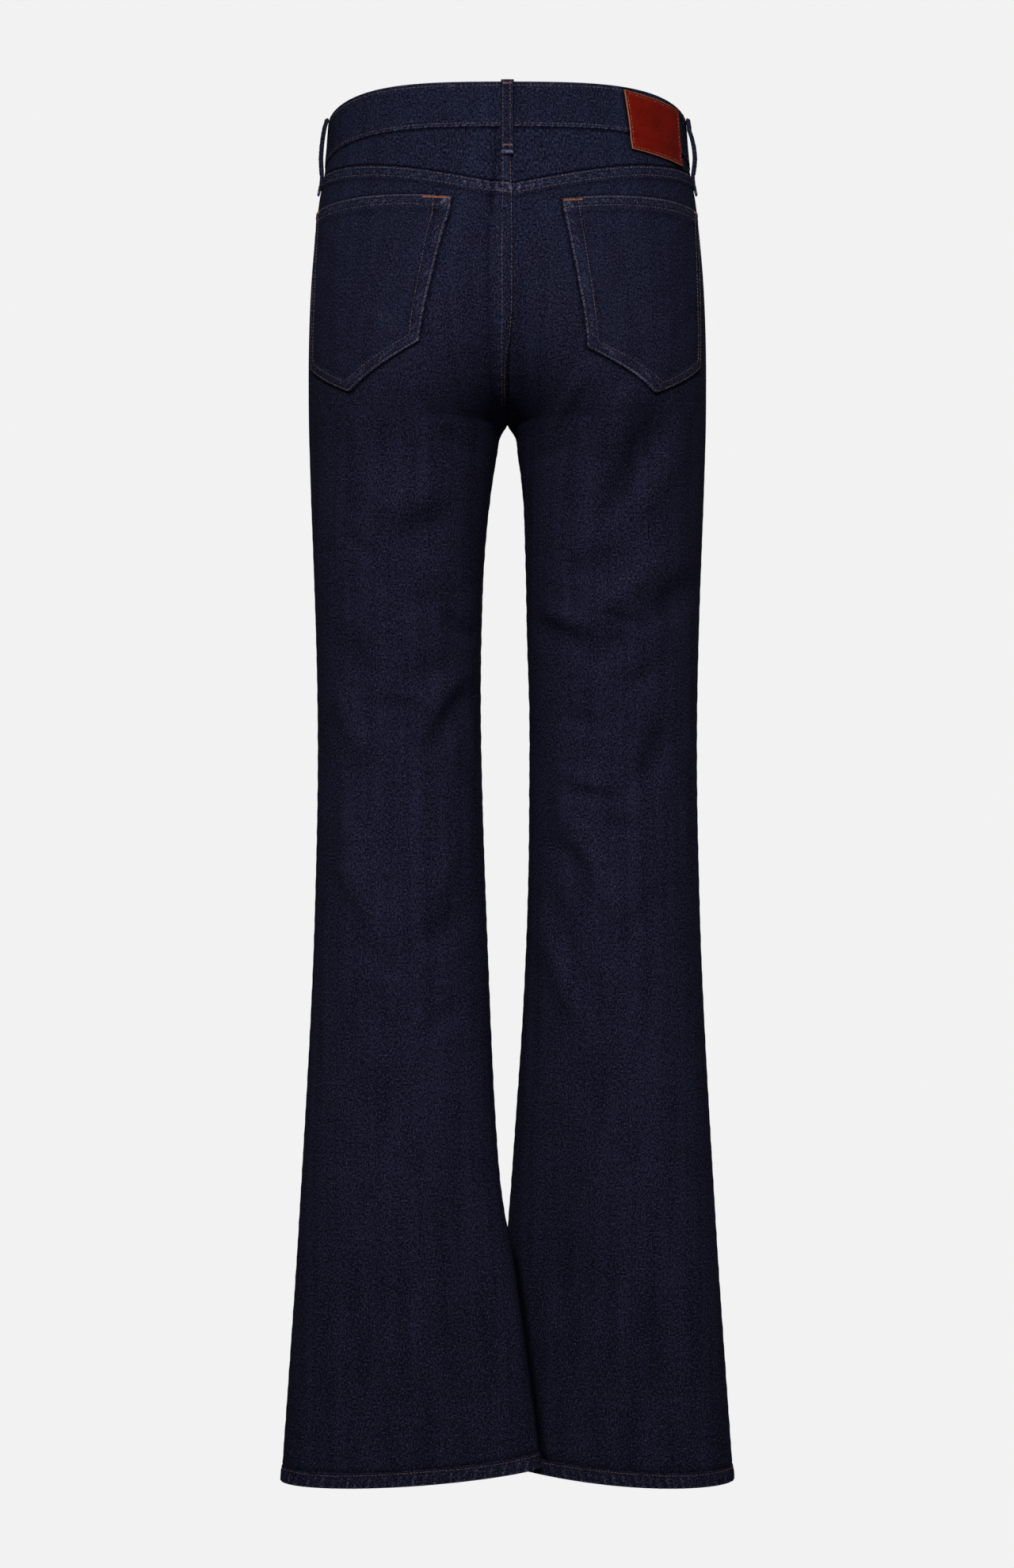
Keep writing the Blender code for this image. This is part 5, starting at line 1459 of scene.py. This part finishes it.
def hem(name, half):
    """The turned-up band round one leg's end."""
    def place(across, down):
        turn = -180.0 + 360.0 * across
        bottom = hem_line(half, turn)
        height = bottom + HEM_HEIGHT * (1 - down)
        up = height - bottom
        along = np.cumsum(turn_speed(half, turn, height), axis=1) * 360.0 / HEM_COLUMNS
        along = along - along[:, :1]
        whole = along[:, -1:]
        around = 2 * np.pi * along / whole
        count = round(float(whole.mean()) / ROPING_PITCH)
        waves = 0.62 * np.sin(count * around + ROPING_LEAN * up + 1.6 * np.sin(5 * around)
                              + 1.1 * np.sin(13 * around + half)) + 0.38 * np.sin(
            round(count * 0.61) * around + 2.1 + 0.4 * up + 1.2 * np.sin(7 * around + half))
        below_row = fade(up, HEM_ROW - 2.5, HEM_ROW)
        relief = ROPING * waves * (0.25 + 0.75 * below_row)
        relief = relief - HEM_GROOVE * hump(up, HEM_ROW, 0.8) + HEM_CROWN * np.sin(
            np.pi * np.clip(up / HEM_ROW, 0.0, 1.0))
        rolled = turned_in(up, 1.3, HEM_THICKNESS / 2)
        top_edge = turned_in(HEM_HEIGHT - up, 1.6, HEM_THICKNESS / 2)
        outer = HEM_PROUD + relief - rolled - top_edge
        inner = HEM_PROUD - HEM_THICKNESS + rolled
        wear_and_shade = below_row * (HEM_WEAR + HEM_WEAR_WAVES * waves) + HEM_EDGE_WEAR * hump(up, 0.8, 0.8)
        ground, normals = cloth_at(half, turn, height)
        return moved_out(ground, normals, outer), moved_out(ground, normals, inner), wear_and_shade

    columns = np.linspace(0.0, 1.0, HEM_COLUMNS + 1)
    return cloth(name, columns, graded(HEM_ROWS, 0.6), place, closed=True, folded=True)


for half, word in ((LEFT, "left"), (RIGHT, "right")):
    piece = dress(f"roped_hem_{word}", hem(f"hem_{word}", half), denim, "denim", f"hem_{word}")
    turn = np.linspace(-180.0, 180.0, 300)
    height = hem_line(half, turn) + HEM_ROW + HEM_ROW_WANDERS * np.sin(np.radians(5 * turn))
    row = run_of_stitches(*cloth_at(half, turn, height), HEM_PITCH, seed=90 + half)
    # Painted shade on the leg panels beside the hem
    paint_shade_beside([piece], [panels[half, BACK], panels[half, FRONT]], reach=2.5)
    sew(f"hem_topstitch_{word}", [row], skin(piece), tint=0.36, width=0.5, seed=13 + half)


# ---- Waist button ------------------------------------------------------------------------
# A plain domed shank button of old brass, riveted through the lapped end of the waistband,
# and the keyhole buttonhole that it fills.

# The outline that is turned into the button, out from its middle and up from the band
BUTTON_OUTLINE = (
    (0.0, 2.05), (2.6, 2.0), (4.6, 1.75), (5.6, 1.5), (6.0, 1.55), (6.4, 1.95), (7.2, 2.35),
    (7.9, 2.3), (8.35, 1.9), (8.5, 1.3), (8.3, 0.6), (7.6, 0.15), (5.0, 0.0), (0.0, 0.0))
BRASS = (0.16, 0.075, 0.035, 1.0), (0.42, 0.235, 0.115, 1.0)
HOLE_TURNS, HOLE_HALF_WIDTH, HOLE_LENGTH, HOLE_STITCH = (-3.5, 6.5), 1.6, 19.0, 2.0


def brass_finish(name):
    """Old brass: darker in clouds of tarnish, and finely scuffed."""
    made, dye, shader = new_finish(name, roughness=0.4, gloss=0.5)
    shader.inputs["Metallic"].default_value = 1.0
    place = dye.place()
    tarnish = place.noise(260.0, 260.0, detail=4.0)
    scuff = place.noise(1500.0, 1500.0, detail=2.0)
    tone = (0.5 + tarnish * 0.8 + scuff * 0.3).between(0.0, 1.0)
    colour = tone.colours(*BRASS)
    colour.feed(shader, "Base Color")
    rough = 0.42 - tarnish * 0.12
    rough.feed(shader, "Roughness")
    raised(dye, shader, scuff, millimetres=0.03)
    return made


def turned_on_axis(outline, steps, merge):
    """A round shape, from its outline of distances from the upright axis and heights."""
    shape = bmesh.new()
    drawn = [shape.verts.new((radius, 0.0, rise)) for radius, rise in outline]
    edges = [shape.edges.new(pair) for pair in zip(drawn, drawn[1:])]
    bmesh.ops.spin(shape, geom=drawn + edges, cent=(0, 0, 0), axis=(0, 0, 1), steps=steps,
                   angle=math.radians(360.0), use_merge=True)
    bmesh.ops.remove_doubles(shape, verts=shape.verts, dist=merge)
    bmesh.ops.recalc_face_normals(shape, faces=shape.faces)
    return shape


button_turn = np.array([-90.0])
button_height = waist_top(button_turn) - WAISTBAND_WIDTH / 2
button_out = outward(LEFT, button_turn, button_height)[0]
button_base = WAISTBAND_PROUD + WAISTBAND_THICKNESS + 2 * LAID_GAP
button_middle = surface(LEFT, button_turn, button_height)[0] + button_out * button_base
dome = turned_on_axis(BUTTON_OUTLINE, steps=48, merge=1e-4)
upright = Vector((0.0, 0.0, 1.0)).rotation_difference(Vector(button_out)).to_matrix().to_4x4()
bmesh.ops.transform(dome, matrix=Matrix.Scale(0.001, 4) @ Matrix.Translation(button_middle) @ (
    upright), verts=dome.verts)
dome_mesh = bpy.data.meshes.new("button")
dome.to_mesh(dome_mesh)
dome.free()
dress("domed_button", dome_mesh, brass_finish("old_brass"), "button_brass", "waist_button")
hole = []
for side in (-1, 1):
    turn = button_turn[0] + np.linspace(*HOLE_TURNS, 30)
    ground, normals = cloth_at(LEFT, turn, button_height[0] + side * HOLE_HALF_WIDTH + 0 * turn)
    hole.append(bartack(
        ground.mean(axis=0), ground[-1] - ground[0], normals[15], HOLE_LENGTH, HOLE_STITCH))
sew("buttonhole_stitches", hole, band_skin, tint=0.2, width=0.45, seed=14)


# ---- Camera, floor and light -------------------------------------------------------------
# A pale floor that curves up all round, one broad soft light behind the viewer and a pale
# surround. The viewer stands 3.2 m behind the jeans, level with the middle of the legs.

VIEW_ASIDE, VIEW_DISTANCE, VIEW_HEIGHT, VIEW_TALL, SENSOR = 0.0003, 3.2, -0.519, 1.2672, 36.0
camera = bpy.data.objects.new("camera", bpy.data.cameras.new("camera"))
bpy.context.scene.collection.objects.link(camera)
camera.location = (VIEW_ASIDE, VIEW_DISTANCE, VIEW_HEIGHT)
camera.rotation_euler = (math.radians(90.0), 0.0, math.radians(180.0))
camera.data.sensor_width = SENSOR
camera.data.lens = SENSOR * VIEW_DISTANCE / VIEW_TALL
bpy.context.scene.camera = camera
bpy.context.scene.view_settings.view_transform = "Standard"

FLOOR_HEIGHT, FLOOR_RADIUS, FLOOR_CURVE, WALL_TOP, CURVE_STEPS = -1.2, 6.0, 2.5, 9.0, 12
FLOOR_GLOW, SURROUND = 0.888, (0.17, 0.17, 0.17, 1.0)
rim = [(FLOOR_RADIUS * share, FLOOR_HEIGHT) for share in (0.0, 0.3, 0.7, 1.0)]
for step in range(1, CURVE_STEPS + 1):
    angle = math.radians(90.0 * step / CURVE_STEPS)
    rim.append((FLOOR_RADIUS + FLOOR_CURVE * math.sin(angle),
                FLOOR_HEIGHT + FLOOR_CURVE * (1 - math.cos(angle))))
rim.append((FLOOR_RADIUS + FLOOR_CURVE, WALL_TOP))
bowl = turned_on_axis(rim, steps=64, merge=1e-5)
floor_mesh = bpy.data.meshes.new("floor")
bowl.to_mesh(floor_mesh)
bowl.free()
floor_mesh.shade_smooth()
floor = bpy.data.objects.new("floor", floor_mesh)
bpy.context.scene.collection.objects.link(floor)
pale, _, pale_shader = new_finish("pale_floor", roughness=1.0, gloss=0.0)
pale_shader.inputs["Base Color"].default_value = (0.0, 0.0, 0.0, 1.0)
pale_shader.inputs["Emission Color"].default_value = (1.0, 1.0, 1.0, 1.0)
pale_shader.inputs["Emission Strength"].default_value = FLOOR_GLOW
floor_mesh.materials.append(pale)
floor.visible_diffuse = floor.visible_glossy = False

# Each light's name, place, target, width in metres and power in watts
LIGHTS = (
    ("soft_light_behind_viewer", (0.14, 3.0, 1.20), (0.0, 0.0, -0.40), 0.45, 93.0),
    ("soft_light_in_front", (-0.3, -2.9, 1.6), (0.0, 0.0, -0.40), 1.0, 84.0),
)
for label, place, target, size, power in LIGHTS:
    lamp = bpy.data.lights.new(label, "AREA")
    lamp.shape, lamp.size, lamp.energy = "DISK", size, power
    light = bpy.data.objects.new(label, lamp)
    light.location = place
    light.rotation_euler = (Vector(target) - Vector(place)).to_track_quat("-Z", "Y").to_euler()
    light.visible_camera = False
    bpy.context.scene.collection.objects.link(light)

surround = bpy.data.worlds.new("surround")
surround.use_nodes = True
surround.node_tree.nodes["Background"].inputs["Color"].default_value = SURROUND
bpy.context.scene.world = surround
